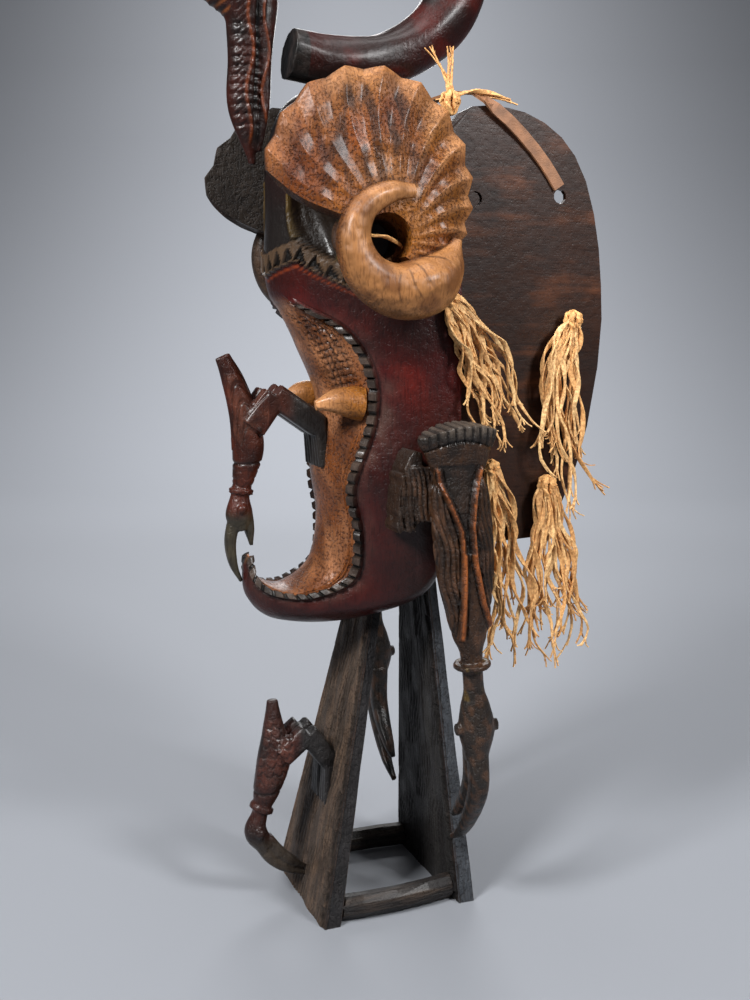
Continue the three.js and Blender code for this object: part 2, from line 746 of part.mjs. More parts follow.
function rung(sign) {
  const reach = FRONT_BOARD_HALF - RUNG_THICK / 2 - 2;
  const path = [];
  for (let i = 0; i <= 4; i++) {
    const t = i / 4;
    const y = FRONT_BOARD_Y + BOARD_THICK / 2 + (BACK_BOARD_Y + 4 - FRONT_BOARD_Y - BOARD_THICK / 2) * t;
    path.push([sign * (reach + RUNG_BOW * Math.sin(Math.PI * t)), y, RUNG_HIGH / 2 + 1]);
  }
  const bar = limb({ path, wide: RUNG_THICK / 2, deep: RUNG_HIGH / 2, rings: 4, around: 8 });
  return bar.subtract(frontBoard(GAP)).subtract(backBoard(GAP));
}

// The side boards, their strap and the raffia

const SIDE_BOARD_OUTLINE = [
  [34, 350], [34, 640], [50, 686], [70, 700], [98, 702], [128, 697], [159, 680], [181, 652], [196, 605],
  [202, 552], [202, 498], [186, 412], [166, 360], [144, 324], [128, 320], [70, 321], [46, 330],
];

function sideBoard(head) {
  const corners = SIDE_BOARD_OUTLINE.map(([y, z]) => new THREE.Vector3(y, z, 0));
  const curve = new THREE.CatmullRomCurve3(corners, true, "centripetal");
  const outline = curve.getPoints(28).slice(0, -1).map((p) => [p.x, p.y]);
  const half = SIDE_BOARD_THICK / 2;
  const sheet = plate(outline, SIDE_BOARD_X - half, SIDE_BOARD_X + half);
  const holes = [[74, 620], [159, 625]].map(([y, z]) =>
    rod([SIDE_BOARD_X - 20, y, z], [SIDE_BOARD_X + 20, y, z], SIDE_BOARD_HOLE / 2, 10),
  );
  return trimmed(sheet.subtract(joinAll(holes)), head);
}

// One leather strap from hole to hole, over the tops of both side boards.
function strap() {
  const x = SIDE_BOARD_X + SIDE_BOARD_THICK / 2 + GAP;
  const right = [[x, 157, 633], [x, 143, 653], [x + 1, 118, 679], [x + 2, 92, 699]];
  const top = [[x - 3, 74, 711], [36, 66, 715]];
  const half = [...right, ...top];
  const path = [...half, ...half.map(([a, y, z]) => [-a, y, z]).reverse()];
  const corners = path.map((p) => new THREE.Vector3(...p));
  const points = new THREE.CatmullRomCurve3(corners, false, "centripetal").getPoints(22);
  const rings = points.map((p, i) => {
    const ahead = points[Math.min(i + 1, 22)].clone().sub(points[Math.max(i - 1, 0)]).normalize();
    const out = new THREE.Vector3(p.x, 0, 60).normalize();
    const onFace = Math.min(Math.max((p.z - 700) / 9, 0), 1);
    out.set(Math.sign(p.x) * (1 - onFace) + out.x * 0.2, 0, onFace + 0.001).normalize();
    const across = new THREE.Vector3().crossVectors(out, ahead).normalize();
    const low = p.clone();
    const high = p.clone().addScaledVector(out, STRAP_THICK);
    return [
      low.clone().addScaledVector(across, -STRAP_WIDE / 2).toArray(),
      low.clone().addScaledVector(across, STRAP_WIDE / 2).toArray(),
      high.clone().addScaledVector(across, STRAP_WIDE / 2).toArray(),
      high.clone().addScaledVector(across, -STRAP_WIDE / 2).toArray(),
    ];
  });
  return solid(loft(rings));
}

// A hanging bunch of raffia: a knot that widens to its frayed ends.
function tassel(path, spread) {
  const deep = [6, spread * 0.5, spread * 0.8, spread, spread * 0.9];
  return limb({ path, wide: [4.5, 6.5, 7.5, 8, 6], deep, rings: 5, around: 6 });
}

const TASSEL_X = SIDE_BOARD_X + SIDE_BOARD_THICK / 2 + 11;
const TASSELS = {
  left_tassel_ear: [
    [[TASSEL_X + 8, 42, 530], [TASSEL_X + 9, 60, 500], [TASSEL_X + 9, 78, 460], [TASSEL_X + 8, 98, 405]],
    19,
  ],
  left_tassel_rear: [
    [[TASSEL_X, 166, 512], [TASSEL_X + 2, 152, 474], [TASSEL_X + 3, 152, 410], [TASSEL_X + 2, 168, 378]],
    14,
  ],
  left_tassel_middle: [[[TASSEL_X, 139, 366], [TASSEL_X, 143, 300], [TASSEL_X, 152, 215]], 22],
  left_tassel_front: [[[TASSEL_X, 84, 385], [TASSEL_X, 97, 310], [TASSEL_X, 106, 228]], 13],
};

// The whole mask

const block = mainBody(headBlock().simplify(SMALLEST));
const head = block.subtract(hollow());
const headRoom = room(block);
const frontBoardBody = trimmed(frontBoard(), headRoom);
const backBoardBody = trimmed(backBoard(), headRoom);
const leftEar = earBody(headRoom);
const leftHornbill = sideHornbill(headRoom, backBoard(GAP));
const hollowHead = room(head);
const leftSideBoard = sideBoard(hollowHead);
const faceRoom = headSkin(3 * GAP).add(headSkin(3 * GAP).translate([0, 0, 2 * GAP]));

const mask = new THREE.Group();
const pieces = [
  ["head", head, RED_WOOD],
  ["left_ear", leftEar, OCHRE_WOOD],
  ["right_ear", mirrored(leftEar).subtract(headRoom), OCHRE_WOOD],
  ["crest", crestBody(headRoom), RED_WOOD],
  ["mouth_hornbill", trimmed(mouthHornbill(), faceRoom), RED_WOOD],
  ["board_hornbill", trimmed(boardHornbill(), frontBoard(GAP)), BROWN_WOOD],
  ["left_hornbill", leftHornbill, BROWN_WOOD],
  ["right_hornbill", mirrored(leftHornbill).subtract(headRoom), BROWN_WOOD],
  ["front_board", frontBoardBody, BOARD_WOOD],
  ["back_board", backBoardBody, BOARD_WOOD],
  ["left_rung", rung(1), BOARD_WOOD],
  ["right_rung", rung(-1), BOARD_WOOD],
  ["left_side_board", leftSideBoard, SHEET_WOOD],
  ["right_side_board", mirrored(leftSideBoard).subtract(hollowHead), SHEET_WOOD],
  ["strap", strap().subtract(room(leftSideBoard)).subtract(room(mirrored(leftSideBoard))), LEATHER],
];
for (const [name, body, material] of pieces) {
  mask.add(meshOf(name, body, material));
}
for (const [name, [path, spread]] of Object.entries(TASSELS)) {
  mask.add(meshOf(name, tassel(path, spread), RAFFIA));
}
mask.position.y = -(FRONT_BOARD_Y + BOARD_THICK / 2);

export default mask;
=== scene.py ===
"""The looks of a carved wooden hornbill mask that stands on its own two boards.

Sizes in the shape functions are millimetres from a line midway between the two boards,
as the mask itself was laid out. in_frame moves them to the frame that all files share.
Y runs from the front of the mask to its back, and X to its own left.
"""

import math

import bpy
import numpy as np
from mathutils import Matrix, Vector, kdtree


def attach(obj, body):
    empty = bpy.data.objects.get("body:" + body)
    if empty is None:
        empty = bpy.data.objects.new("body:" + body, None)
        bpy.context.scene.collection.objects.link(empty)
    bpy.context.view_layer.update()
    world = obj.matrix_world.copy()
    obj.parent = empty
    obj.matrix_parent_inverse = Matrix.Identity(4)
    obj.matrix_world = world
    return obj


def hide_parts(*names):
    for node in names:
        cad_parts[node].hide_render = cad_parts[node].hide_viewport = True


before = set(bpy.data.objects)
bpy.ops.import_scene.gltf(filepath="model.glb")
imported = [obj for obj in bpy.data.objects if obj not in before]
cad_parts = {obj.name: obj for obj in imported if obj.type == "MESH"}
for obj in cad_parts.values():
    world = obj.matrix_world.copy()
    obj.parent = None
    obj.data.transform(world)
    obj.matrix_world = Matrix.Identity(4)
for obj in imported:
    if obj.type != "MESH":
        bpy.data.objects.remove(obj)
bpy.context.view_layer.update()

bl_info = {
    "name": "Carved Hornbill Mask",
    "version": (1, 0, 0),
    "blender": (4, 5, 0),
    "location": "3D View > Sidebar > Mask",
    "description": "Dresses the carved hornbill mask: painted wood, leather and raffia",
    "category": "Object",
}


# Colours and sizes that a user would change


def linear(code, alpha=1.0):
    """An sRGB hex colour as the linear values that Blender works in."""
    shades = [int(code[i : i + 2], 16) / 255 for i in (1, 3, 5)]
    return tuple(v / 12.92 if v <= 0.04045 else ((v + 0.055) / 1.055) ** 2.4 for v in shades) + (alpha,)


def colour(name, description, code):
    return bpy.props.FloatVectorProperty(
        name=name, description=description, size=4, subtype="COLOR", min=0.0, max=1.0, default=linear(code)
    )


def length(name, description, default, low, high):
    return bpy.props.FloatProperty(
        name=name,
        description=description,
        default=default,
        min=low,
        max=high,
        subtype="DISTANCE",
        unit="LENGTH",
    )


class MaskColours(bpy.types.PropertyGroup):
    """Colours of the mask's paint, bare woods, leather and raffia"""

    cheek_red: colour("Cheek red", "Glossy dark red stain of the cheeks and horn", "#521210")
    brow_black: colour("Brow black", "Soot-black stain of the brow, rim and feet", "#1a1614")
    face_ochre: colour("Face ochre", "Orange-brown of the sunk face plate", "#70401f")
    face_pale: colour("Face pale", "Worn, pinkish high parts of the face plate", "#a9744f")
    ear_ochre: colour("Ear ochre", "Ochre stain of the fluted ears and their curls", "#8f5a22")
    # Also laid on as painted highlight on the ears' ridge crests and on the fan's outer band, besides worn
    # places
    ear_wear_and_highlight: colour("Ear worn", "Pinkish tan where the ridges are worn", "#b98558")
    bird_red: colour("Bird red", "Red-brown stain of the hornbill at the mouth", "#4a2014")
    bird_brown: colour("Bird brown", "Brown of the clinging hornbills", "#3d2716")
    beak_olive: colour("Beak olive", "Greenish brown of the beaks", "#3d382c")
    board_brown: colour("Board brown", "Weathered brown of the two boards", "#463b32")
    board_dark: colour("Board dark", "Near-black old stain on board and rungs", "#222020")
    sheet_brown: colour("Side board brown", "Dark brown of the thin side boards", "#2d1b13")
    sheet_light: colour("Side board light", "Reddish tan where the sheet is worn", "#6c4027")
    raw_wood: colour("Raw wood", "Unstained wood inside the helmet", "#6b4f38")
    leather_tan: colour("Leather tan", "Tan of the leather strap", "#9a6a48")
    raffia_straw: colour("Raffia straw", "Straw orange of the raffia", "#f6bd78")


class MaskSizes(bpy.types.PropertyGroup):
    """Sizes of the carving and of the raffia"""

    rim_tooth: length("Rim tooth", "Distance from one block of the rim to the next", 0.0105, 0.006, 0.02)
    rim_height: length("Rim height", "How far the rim's blocks stand out", 0.0055, 0.002, 0.01)
    band_tooth: length("Band tooth", "Width of a triangle in the zigzag band", 0.0115, 0.006, 0.02)
    flute_depth: length("Flute depth", "Depth of the channels in the ears", 0.0032, 0.001, 0.008)
    strand_width: length("Raffia width", "Width of a twisted raffia strand", 0.0056, 0.002, 0.008)


def colours():
    return bpy.context.scene.mask_colours


def sizes():
    return bpy.context.scene.mask_sizes


# Tools for shapes

RAD = math.pi / 180
MIDDLE_LINE = 53.0  # where the line midway between the boards lies along Y in the shared frame
ONE_LINE = 1000.0  # a pitch so wide that its row has a single line


def in_frame(corners):
    out = np.array(corners, float)
    out[:, 1] += MIDDLE_LINE
    return out / 1000


def from_frame(corners):
    out = np.array(corners, float) * 1000
    out[:, 1] -= MIDDLE_LINE
    return out


def unit(vectors):
    return vectors / np.maximum(np.linalg.norm(vectors, axis=-1, keepdims=True), 1e-9)


def ease(value, low, high):
    """0 below low, 1 above high and smooth between them."""
    t = np.clip((value - low) / (high - low), 0, 1)
    return t * t * (3 - 2 * t)


def bumps(across, pitch, width):
    """1 in the middle of each line of a row with this pitch, 0 between the lines."""
    away = np.abs((across / pitch + 0.5) % 1 - 0.5) * pitch
    return np.clip(1.5 * (1 - away / (width / 2)), 0, 1)


def along(values, t):
    """The value of a smooth line through a list of numbers or points, t from 0 to 1."""
    values = np.asarray(values, float)
    last = len(values) - 1
    at = np.clip(t, 0, 1) * last
    i = np.minimum(np.floor(at).astype(int), last - 1)
    f = at - i
    if values.ndim > 1:
        f = f[..., None]
    p0, p1, p2, p3 = (values[np.clip(i + k, 0, last)] for k in (-1, 0, 1, 2))
    curve = (p2 - p0) * f + (2 * p0 - 5 * p1 + 4 * p2 - p3) * f**2
    return 0.5 * (2 * p1 + curve + (3 * p1 - p0 - 3 * p2 + p3) * f**3)


def route(points, t):
    """Points of an even curve through a few given points."""
    points = np.asarray(points, float)
    last = len(points) - 1
    ends = np.vstack([2 * points[0] - points[1], points, 2 * points[-1] - points[-2]])
    at = np.clip(t, 0, 1) * last
    i = np.minimum(np.floor(at).astype(int), last - 1)
    f = (at - i)[:, None]
    x0, x1, x2, x3 = (ends[i + k] for k in range(4))
    pairs = ((x0, x1), (x1, x2), (x2, x3))
    d0, d1, d2 = (np.sqrt(np.linalg.norm(b - a, axis=1))[:, None] + 1e-6 for a, b in pairs)
    t1 = ((x1 - x0) / d0 - (x2 - x0) / (d0 + d1) + (x2 - x1) / d1) * d1
    t2 = ((x2 - x1) / d1 - (x3 - x1) / (d1 + d2) + (x3 - x2) / d2) * d1
    return x1 + t1 * f + (3 * x2 - 3 * x1 - 2 * t1 - t2) * f**2 + (2 * x1 - 2 * x2 + t1 + t2) * f**3


def facing_out(corners, faces):
    """Turns all faces round where the closed skin is inside out."""
    total = 0.0
    for face in faces:
        a = corners[face[:, 0]]
        for k in range(1, face.shape[1] - 1):
            total += np.einsum("ij,ij->i", a, np.cross(corners[face[:, k]], corners[face[:, k + 1]])).sum()
    return faces if total > 0 else [face[:, ::-1] for face in faces]


def loft(rings):
    """A closed skin over rings of equal count, with a fan over each end."""
    rings = np.asarray(rings, float)
    rows, count = rings.shape[:2]
    i, j = np.meshgrid(np.arange(rows - 1), np.arange(count), indexing="ij")
    a, b = i * count + j, i * count + (j + 1) % count
    walls = np.stack([a, b, b + count, a + count], -1).reshape(-1, 4)
    corners = np.vstack([rings.reshape(-1, 3), rings[0].mean(0), rings[-1].mean(0)])
    k, last = np.arange(count), (rows - 1) * count
    first_end = np.stack([np.full(count, rows * count), (k + 1) % count, k], -1)
    last_end = np.stack([np.full(count, rows * count + 1), last + k, last + (k + 1) % count], -1)
    return corners, facing_out(corners, [walls, np.vstack([first_end, last_end])])


def limb(path, wide, deep, side=(1, 0, 0), rings=48, around=24, box=0.0, twist=None, relief=None):
    """A limb of oval section along a smooth line, flat across its ends.

    side is the direction of its half width, box squares the section, twist turns it
    along the way and relief(t, turn) raises its skin.
    """
    t = np.linspace(0, 1, rings + 1)
    centre = route(path, t)
    ahead = unit(np.gradient(centre, axis=0))
    up = unit(np.cross(np.asarray(side, float), ahead))
    flat = unit(np.cross(ahead, up))
    turn = (np.arange(around) + 0.5) / around * 2 * np.pi
    turns = turn[None, :] * np.ones((rings + 1, 1))
    power = 1 - box
    across = np.sign(np.cos(turns)) * np.abs(np.cos(turns)) ** power
    rise = np.sign(np.sin(turns)) * np.abs(np.sin(turns)) ** power
    half_wide = along(wide, t)[:, None] if np.ndim(wide) else wide
    half_deep = along(deep, t)[:, None] if np.ndim(deep) else deep
    lift = relief(t[:, None], turns) if relief else 0.0
    x, y = across * (half_wide + lift), rise * (half_deep + lift)
    if twist is not None:
        angle = np.asarray(twist(t))[:, None]
        x, y = x * np.cos(angle) - y * np.sin(angle), x * np.sin(angle) + y * np.cos(angle)
    return loft(centre[:, None] + flat[:, None] * x[..., None] + up[:, None] * y[..., None])


def joined(shapes):
    corners, faces, start = [], [], 0
    for points, groups in shapes:
        corners.append(points)
        faces += [group + start for group in groups]
        start += len(points)
    return np.vstack(corners), faces


def mirrored(shape):
    points, groups = shape
    return points * np.array([-1, 1, 1]), [group[:, ::-1] for group in groups]


def on_side(side):
    """The name of a side, 1 for the mask's left and -1 for its right, and what moves shapes there."""
    return ("left", lambda shape: shape) if side > 0 else ("right", mirrored)


def plate(outline, x0, x1):
    """A plate with a drawn outline in the Y-Z plane, from x0 to x1."""
    ring = np.array(outline, float)
    return loft([[[x, y, z] for y, z in ring] for x in (x0, x1)])


def rod(start, end, radius, sides=32):
    return limb([start, end], radius, radius, side=(0.01, 0.02, 1), rings=2, around=sides)


def only(piece):
    bpy.ops.object.select_all(action="DESELECT")
    piece.select_set(True)
    bpy.context.view_layer.objects.active = piece


def new_piece(name, shapes):
    corners, faces = joined(shapes)
    mesh = bpy.data.meshes.new(name)
    mesh.from_pydata(in_frame(corners).tolist(), [], [face for group in faces for face in group.tolist()])
    mesh.update()
    piece = bpy.data.objects.new(name, mesh)
    bpy.context.scene.collection.objects.link(piece)
    return piece


def finish_with(piece, kind, **settings):
    """Adds a modifier and applies it."""
    only(piece)
    modifier = piece.modifiers.new(kind.title(), kind)
    for key, value in settings.items():
        setattr(modifier, key, value)
    bpy.ops.object.modifier_apply(modifier=modifier.name)


def cut(piece, shapes, operation="DIFFERENCE"):
    """Cuts shapes out of a piece, or joins them to it with UNION."""
    tool = new_piece("tool", shapes)
    finish_with(piece, "BOOLEAN", object=tool, operation=operation, solver="MANIFOLD")
    bpy.data.objects.remove(tool, do_unlink=True)
    if not piece.data.polygons:
        raise RuntimeError(piece.name + " was cut away")


def fused(name, shapes, voxel, smooth=2):
    """Shapes that pass through each other as one carved skin."""
    piece = new_piece(name, shapes)
    finish_with(piece, "REMESH", mode="VOXEL", voxel_size=voxel / 1000, adaptivity=0.0)
    if smooth:
        finish_with(piece, "SMOOTH", factor=0.5, iterations=smooth)
    return piece


def corners_of(piece):
    values = np.empty(len(piece.data.vertices) * 3, np.float32)
    piece.data.vertices.foreach_get("co", values)
    return from_frame(values.reshape(-1, 3))


def normals_of(piece):
    values = np.empty(len(piece.data.vertices) * 3, np.float32)
    piece.data.vertices.foreach_get("normal", values)
    return values.reshape(-1, 3)


def move_corners(piece, corners):
    piece.data.vertices.foreach_set("co", in_frame(corners).astype(np.float32).ravel())
    piece.data.update()


def raise_skin(piece, height):
    """Moves the skin along its normals by height(corners) millimetres."""
    corners = corners_of(piece)
    move_corners(piece, corners + normals_of(piece) * height(corners)[:, None])


def blend(first, second, share):
    """Mixes two colours, or arrays of them, by a share from 0 to 1 at each corner."""
    share = np.asarray(share, float)
    if share.ndim == 1:
        share = share[:, None]
    return np.asarray(first) * (1 - share) + np.asarray(second) * share


def layered(tone, *layers):
    """Lays stains over a tone in turn; each is a hex colour or an array, with its share."""
    for stain, share in layers:
        tone = blend(tone, linear(stain) if isinstance(stain, str) else stain, share)
    return tone


def paint(piece, tone, speckle):
    """Stores the stain at each corner; its fourth value is how speckled the wood is."""
    values = np.empty((len(tone), 4), np.float32)
    values[:, :3] = tone[:, :3]
    values[:, 3] = speckle
    layer = piece.data.attributes.new("paint", "FLOAT_COLOR", "POINT")
    layer.data.foreach_set("color", values.ravel())


def flecks(corners, size, seed=0):
    """A soft random value from 0 to 1 over space, with spots of about this size."""
    phase = np.array([[1.0, 0.37, 0.61], [-0.53, 1.0, 0.29], [0.41, -0.67, 1.0], [0.83, 0.59, -0.47]])
    total = 0.0
    for k, row in enumerate(phase):
        total = total + np.sin(corners @ row * 2 * np.pi / size / (1 + 0.35 * k) + seed * 1.7 + k * 2.1)
    return np.clip(0.5 + total / 5, 0, 1)


def dressed(piece, finish, nodes, smooth=60):
    """Gives a piece its finish and its place on the mask, and hides the CAD nodes it stands for."""
    piece.data.materials.clear()
    piece.data.materials.append(material_of(finish))
    only(piece)
    bpy.ops.object.shade_smooth_by_angle(angle=smooth * RAD)
    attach(piece, "root")
    if nodes:
        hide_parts(*nodes)
    return piece


# Materials


def add_node(tree, kind, settings=None, inputs=None):
    """Adds a shader node, sets it and links its inputs; a link is a (node, output) pair."""
    node = tree.nodes.new("ShaderNode" + kind)
    for key, value in (settings or {}).items():
        setattr(node, key, value)
    for key, value in (inputs or {}).items():
        if isinstance(value, tuple) and isinstance(value[0], bpy.types.Node):
            tree.links.new(value[0].outputs[value[1]], node.inputs[key])
        else:
            node.inputs[key].default_value = value
    return node


# Settings and socket numbers of a Mix node for colours
MIX = {"data_type": "RGBA", "blend_type": "MIX"}
MULTIPLY = {"data_type": "RGBA", "blend_type": "MULTIPLY"}
FACTOR, FIRST, SECOND, RESULT = 0, 6, 7, 2


def new_material(name):
    """A new material, its node tree and the node that gives Object coordinates."""
    material = bpy.data.materials.new(name)
    material.use_nodes = True
    tree = material.node_tree
    tree.nodes.clear()
    return material, tree, add_node(tree, "TexCoord")


def ended(material, inputs):
    """Ends a material in one shader with these inputs."""
    shader = add_node(material.node_tree, "BsdfPrincipled", None, inputs)
    add_node(material.node_tree, "OutputMaterial", None, {"Surface": (shader, "BSDF")})
    return material


def spots(size_mm):
    """The scale of a pattern whose features are this many millimetres across."""
    return 1000 / size_mm


def between(low, high, source):
    """Inputs of a Map Range node that gives 0 at low and 1 at high."""
    return {"Value": source, "From Min": low, "From Max": high}


def scaled(shade, factor):
    """A darker or lighter copy of a colour."""
    return tuple(v * factor for v in shade[:3]) + (1.0,)


def carved_wood(name, roughness, polish, bump_mm, stain=None, grain_axis=2, furrow=0.35):
    """Hand-carved hardwood, stained and polished by handling.

    It shows broad darker and lighter patches of old stain, fine grain lines along the
    piece, knife facets of about 7 mm that break up the highlight, and dark pits.
    """
    material, tree, place = new_material(name)
    stretch = [1.0, 1.0, 1.0]
    stretch[grain_axis] = 0.09
    along_grain = add_node(tree, "Mapping", None, {"Vector": (place, "Object"), "Scale": stretch})
    everywhere, lengthwise = {"Vector": (place, "Object")}, {"Vector": (along_grain, "Vector")}
    patches = add_node(tree, "TexNoise", None, {**everywhere, "Scale": spots(26), "Detail": 5.0})
    grain = add_node(tree, "TexNoise", None, {**lengthwise, "Scale": spots(1.6), "Detail": 4.0})
    pits = add_node(tree, "TexNoise", None, {**everywhere, "Scale": spots(2.3), "Detail": 4.0})
    facets = add_node(tree, "TexVoronoi", {"feature": "SMOOTH_F1"}, {**everywhere, "Scale": spots(7)})
    if stain is None:
        layer = add_node(tree, "Attribute", {"attribute_name": "paint"})
        base, speckled = (layer, "Color"), (layer, "Alpha")
    else:
        base, speckled = stain(tree, everywhere, lengthwise), 0.35
    shade = add_node(tree, "MapRange", None, between(0.25, 0.75, (patches, "Fac")))
    lines = add_node(tree, "MapRange", None, between(0.5, 0.68, (grain, "Fac")))
    dots = add_node(tree, "MapRange", None, between(0.5, 0.66, (pits, "Fac")))
    amount = add_node(tree, "Math", {"operation": "MULTIPLY"}, {0: (dots, "Result"), 1: speckled})
    dark, light = (0.6, 0.56, 0.54, 1.0), (1.28, 1.24, 1.2, 1.0)
    cloud = add_node(tree, "Mix", MIX, {FACTOR: (shade, "Result"), FIRST: dark, SECOND: light})
    tone = (add_node(tree, "Mix", MULTIPLY, {FACTOR: 1.0, FIRST: base, SECOND: (cloud, RESULT)}), RESULT)
    grain_tint, pit_tint = (0.62, 0.58, 0.56, 1.0), (0.4, 0.34, 0.3, 1.0)
    for share, tint in (((lines, "Result"), grain_tint), ((amount, "Value"), pit_tint)):
        tone = (add_node(tree, "Mix", MULTIPLY, {FACTOR: share, FIRST: tone, SECOND: tint}), RESULT)
    height = (facets, "Distance")
    lowered = {"operation": "MULTIPLY_ADD"}
    for source, depth in (((grain, "Fac"), -furrow), ((amount, "Value"), -0.8)):
        height = (add_node(tree, "Math", lowered, {0: source, 1: depth, 2: height}), "Value")
    bump = add_node(tree, "Bump", None, {"Strength": 0.8, "Distance": bump_mm / 1000, "Height": height})
    wear = between(0.3, 0.7, (patches, "Fac"))
    rough = add_node(tree, "MapRange", None, {**wear, "To Min": roughness + 0.1, "To Max": roughness - 0.06})
    surface = {"Base Color": tone, "Roughness": (rough, "Result"), "Normal": (bump, "Normal"), "IOR": 1.48}
    shine = {"Specular IOR Level": 0.25, "Coat Weight": polish, "Coat Roughness": 0.22}
    return ended(material, {**surface, **shine})


def sheet_stain(tree, everywhere, lengthwise):
    """Stain of a thin board rubbed by use: long reddish worn streaks on dark brown."""
    broad = add_node(tree, "TexNoise", None, {**lengthwise, "Scale": spots(16), "Detail": 6.0})
    cloud = add_node(tree, "TexNoise", None, {**everywhere, "Scale": spots(70), "Detail": 3.0})
    both = add_node(tree, "Math", {"operation": "MULTIPLY"}, {0: (broad, "Fac"), 1: (cloud, "Fac")})
    share = add_node(tree, "MapRange", None, between(0.26, 0.48, (both, "Value")))
    dark, light = tuple(colours().sheet_brown), tuple(colours().sheet_light)
    return add_node(tree, "Mix", MIX, {FACTOR: (share, "Result"), FIRST: dark, SECOND: light}), RESULT


def rung_stain(tree, everywhere, lengthwise):
    """Near-black stain with grey-brown wear along the grain."""
    broad = add_node(tree, "TexNoise", None, {**lengthwise, "Scale": spots(6), "Detail": 5.0})
    share = add_node(tree, "MapRange", None, between(0.45, 0.75, (broad, "Fac")))
    dark, light = tuple(colours().board_dark), tuple(colours().board_brown)
    return add_node(tree, "Mix", MIX, {FACTOR: (share, "Result"), FIRST: dark, SECOND: light}), RESULT


def tan_leather():
    """Vegetable-tanned leather strap: creased, darker in its pores, dull with use."""
    material, tree, place = new_material("worn_tan_leather")
    everywhere = {"Vector": (place, "Object")}
    pores = add_node(tree, "TexVoronoi", None, {**everywhere, "Scale": spots(1.1)})
    clouds = add_node(tree, "TexNoise", None, {**everywhere, "Scale": spots(14), "Detail": 5.0})
    share = add_node(tree, "MapRange", None, between(0.3, 0.7, (clouds, "Fac")))
    tan = tuple(colours().leather_tan)
    base = add_node(tree, "Mix", MIX, {FACTOR: (share, "Result"), FIRST: scaled(tan, 0.45), SECOND: tan})
    bump = add_node(tree, "Bump", None, {"Strength": 0.4, "Distance": 0.0004, "Height": (pores, "Distance")})
    return ended(material, {"Base Color": (base, RESULT), "Roughness": 0.6, "Normal": (bump, "Normal")})


def twisted_raffia():
    """Dry raffia leaf twisted into strands: matt, fibrous, straw to orange brown."""
    material, tree, place = new_material("twisted_raffia")
    everywhere = {"Vector": (place, "Object")}
    layer = add_node(tree, "Attribute", {"attribute_name": "paint"})
    fibres = add_node(tree, "TexNoise", None, {**everywhere, "Scale": spots(2.4), "Detail": 4.0})
    # 1 in the furrows, which are darker, and 0 on the fibres
    furrows = add_node(tree, "MapRange", None, between(0.65, 0.35, (fibres, "Fac")))
    shade = {FACTOR: (furrows, "Result"), FIRST: (layer, "Color"), SECOND: (0.5, 0.42, 0.36, 1.0)}
    base = add_node(tree, "Mix", MULTIPLY, shade)
    bump = add_node(tree, "Bump", None, {"Strength": 0.5, "Distance": 0.0006, "Height": (fibres, "Fac")})
    return ended(material, {"Base Color": (base, RESULT), "Roughness": 0.7, "Normal": (bump, "Normal")})


def plain_studio(name, tone):
    """Matt painted paper backdrop without a sheen, a grey with painted shade that darkens it upward."""
    material, tree, place = new_material(name)
    everywhere = {"Vector": (place, "Object")}
    soft = add_node(tree, "TexNoise", None, {**everywhere, "Scale": spots(1250), "Detail": 2.0})
    share = add_node(tree, "MapRange", None, between(0.2, 0.8, (soft, "Fac")))
    even = add_node(tree, "Mix", MIX, {FACTOR: (share, "Result"), FIRST: scaled(tone, 0.96), SECOND: tone})
    height = add_node(tree, "SeparateXYZ", None, everywhere)
    # Painted shade: the grey darkens upward
    upward_shade = add_node(tree, "MapRange", None, between(0.0, 1.5, (height, "Z")))
    upper = {FACTOR: (upward_shade, "Result"), FIRST: (even, RESULT), SECOND: scaled(tone, 0.6)}
    base = add_node(tree, "Mix", MIX, upper)
    return ended(material, {"Base Color": (base, RESULT), "Roughness": 0.85})


# Each wood's roughness, shine of its polish and depth of its relief in millimetres. Then come its
# own stain, where it isn't painted, the axis that its grain follows and how deep the grain is.
WOODS = {
    # Close hardwood stained dark red and rubbed with oil: the smoothest of the carved pieces
    "polished_red_wood": (0.38, 0.22, 1.0),
    # The same wood under ochre, which stays duller and shows the knife
    "ochre_carved_wood": (0.46, 0.12, 1.9),
    # Brown wood polished by hands on its high places, pitted in its cuts
    "handled_brown_wood": (0.42, 0.25, 2.2),
    # Hewn plank, weathered and dry: matt, with open grain
    "hewn_board_wood": (0.62, 0.1, 2.0, None, 2, 1.4),
    "stained_rung_wood": (0.55, 0.1, 1.6, rung_stain, 1, 1.2),
    # Thin planed board, almost flat and a little shiny
    "smooth_sheet_wood": (0.4, 0.22, 0.3, sheet_stain, 1),
}
FIBRES = {"worn_tan_leather": tan_leather, "twisted_raffia": twisted_raffia}
MATERIALS = {}


def material_of(name):
    """Makes a finish the first time that a piece asks for it."""
    if name not in MATERIALS:
        MATERIALS[name] = carved_wood(name, *WOODS[name]) if name in WOODS else FIBRES[name]()
    return MATERIALS[name]


# The helmet

# One row for each station from the crown down the face and out along the jaw:
# front Y and Z, back Y and Z, half width, and how far back the section is widest.
STATIONS = [
    [-38, 728, 34, 726, 38, 0.5],
    [-74, 706, 50, 706, 72, 0.75],
    [-90, 664, 54, 668, 88, 0.95],
    [-91, 610, 54, 612, 92, 1],
    [-90, 545, 54, 550, 92, 1],
    [-66, 492, 54, 490, 92, 1],
    [-45, 440, 54, 430, 91, 1],
    [-51, 385, 54, 370, 90, 0.98],
    [-45, 338, 54, 318, 84, 0.9],
    [-53, 300, 44, 268, 66, 0.75],
    [-76, 284, -20, 246, 44, 0.55],
    [-95, 288, -84, 250, 27, 0.5],
    [-104, 297, -110, 271, 15, 0.5],
    [-107, 309, -114, 299, 7, 0.5],
]
LIP = 4.15  # station of the upper lip
BROW_ANGLE = 43 * RAD
FACE_SUNK = 3.0
RIM_FOOT = 2.0  # height of the rim between its teeth
ROOM_LOW, ROOM_HIGH, ROOM_HALF, WALL, HEAD_BACK = 346, 684, 80, 16, 54

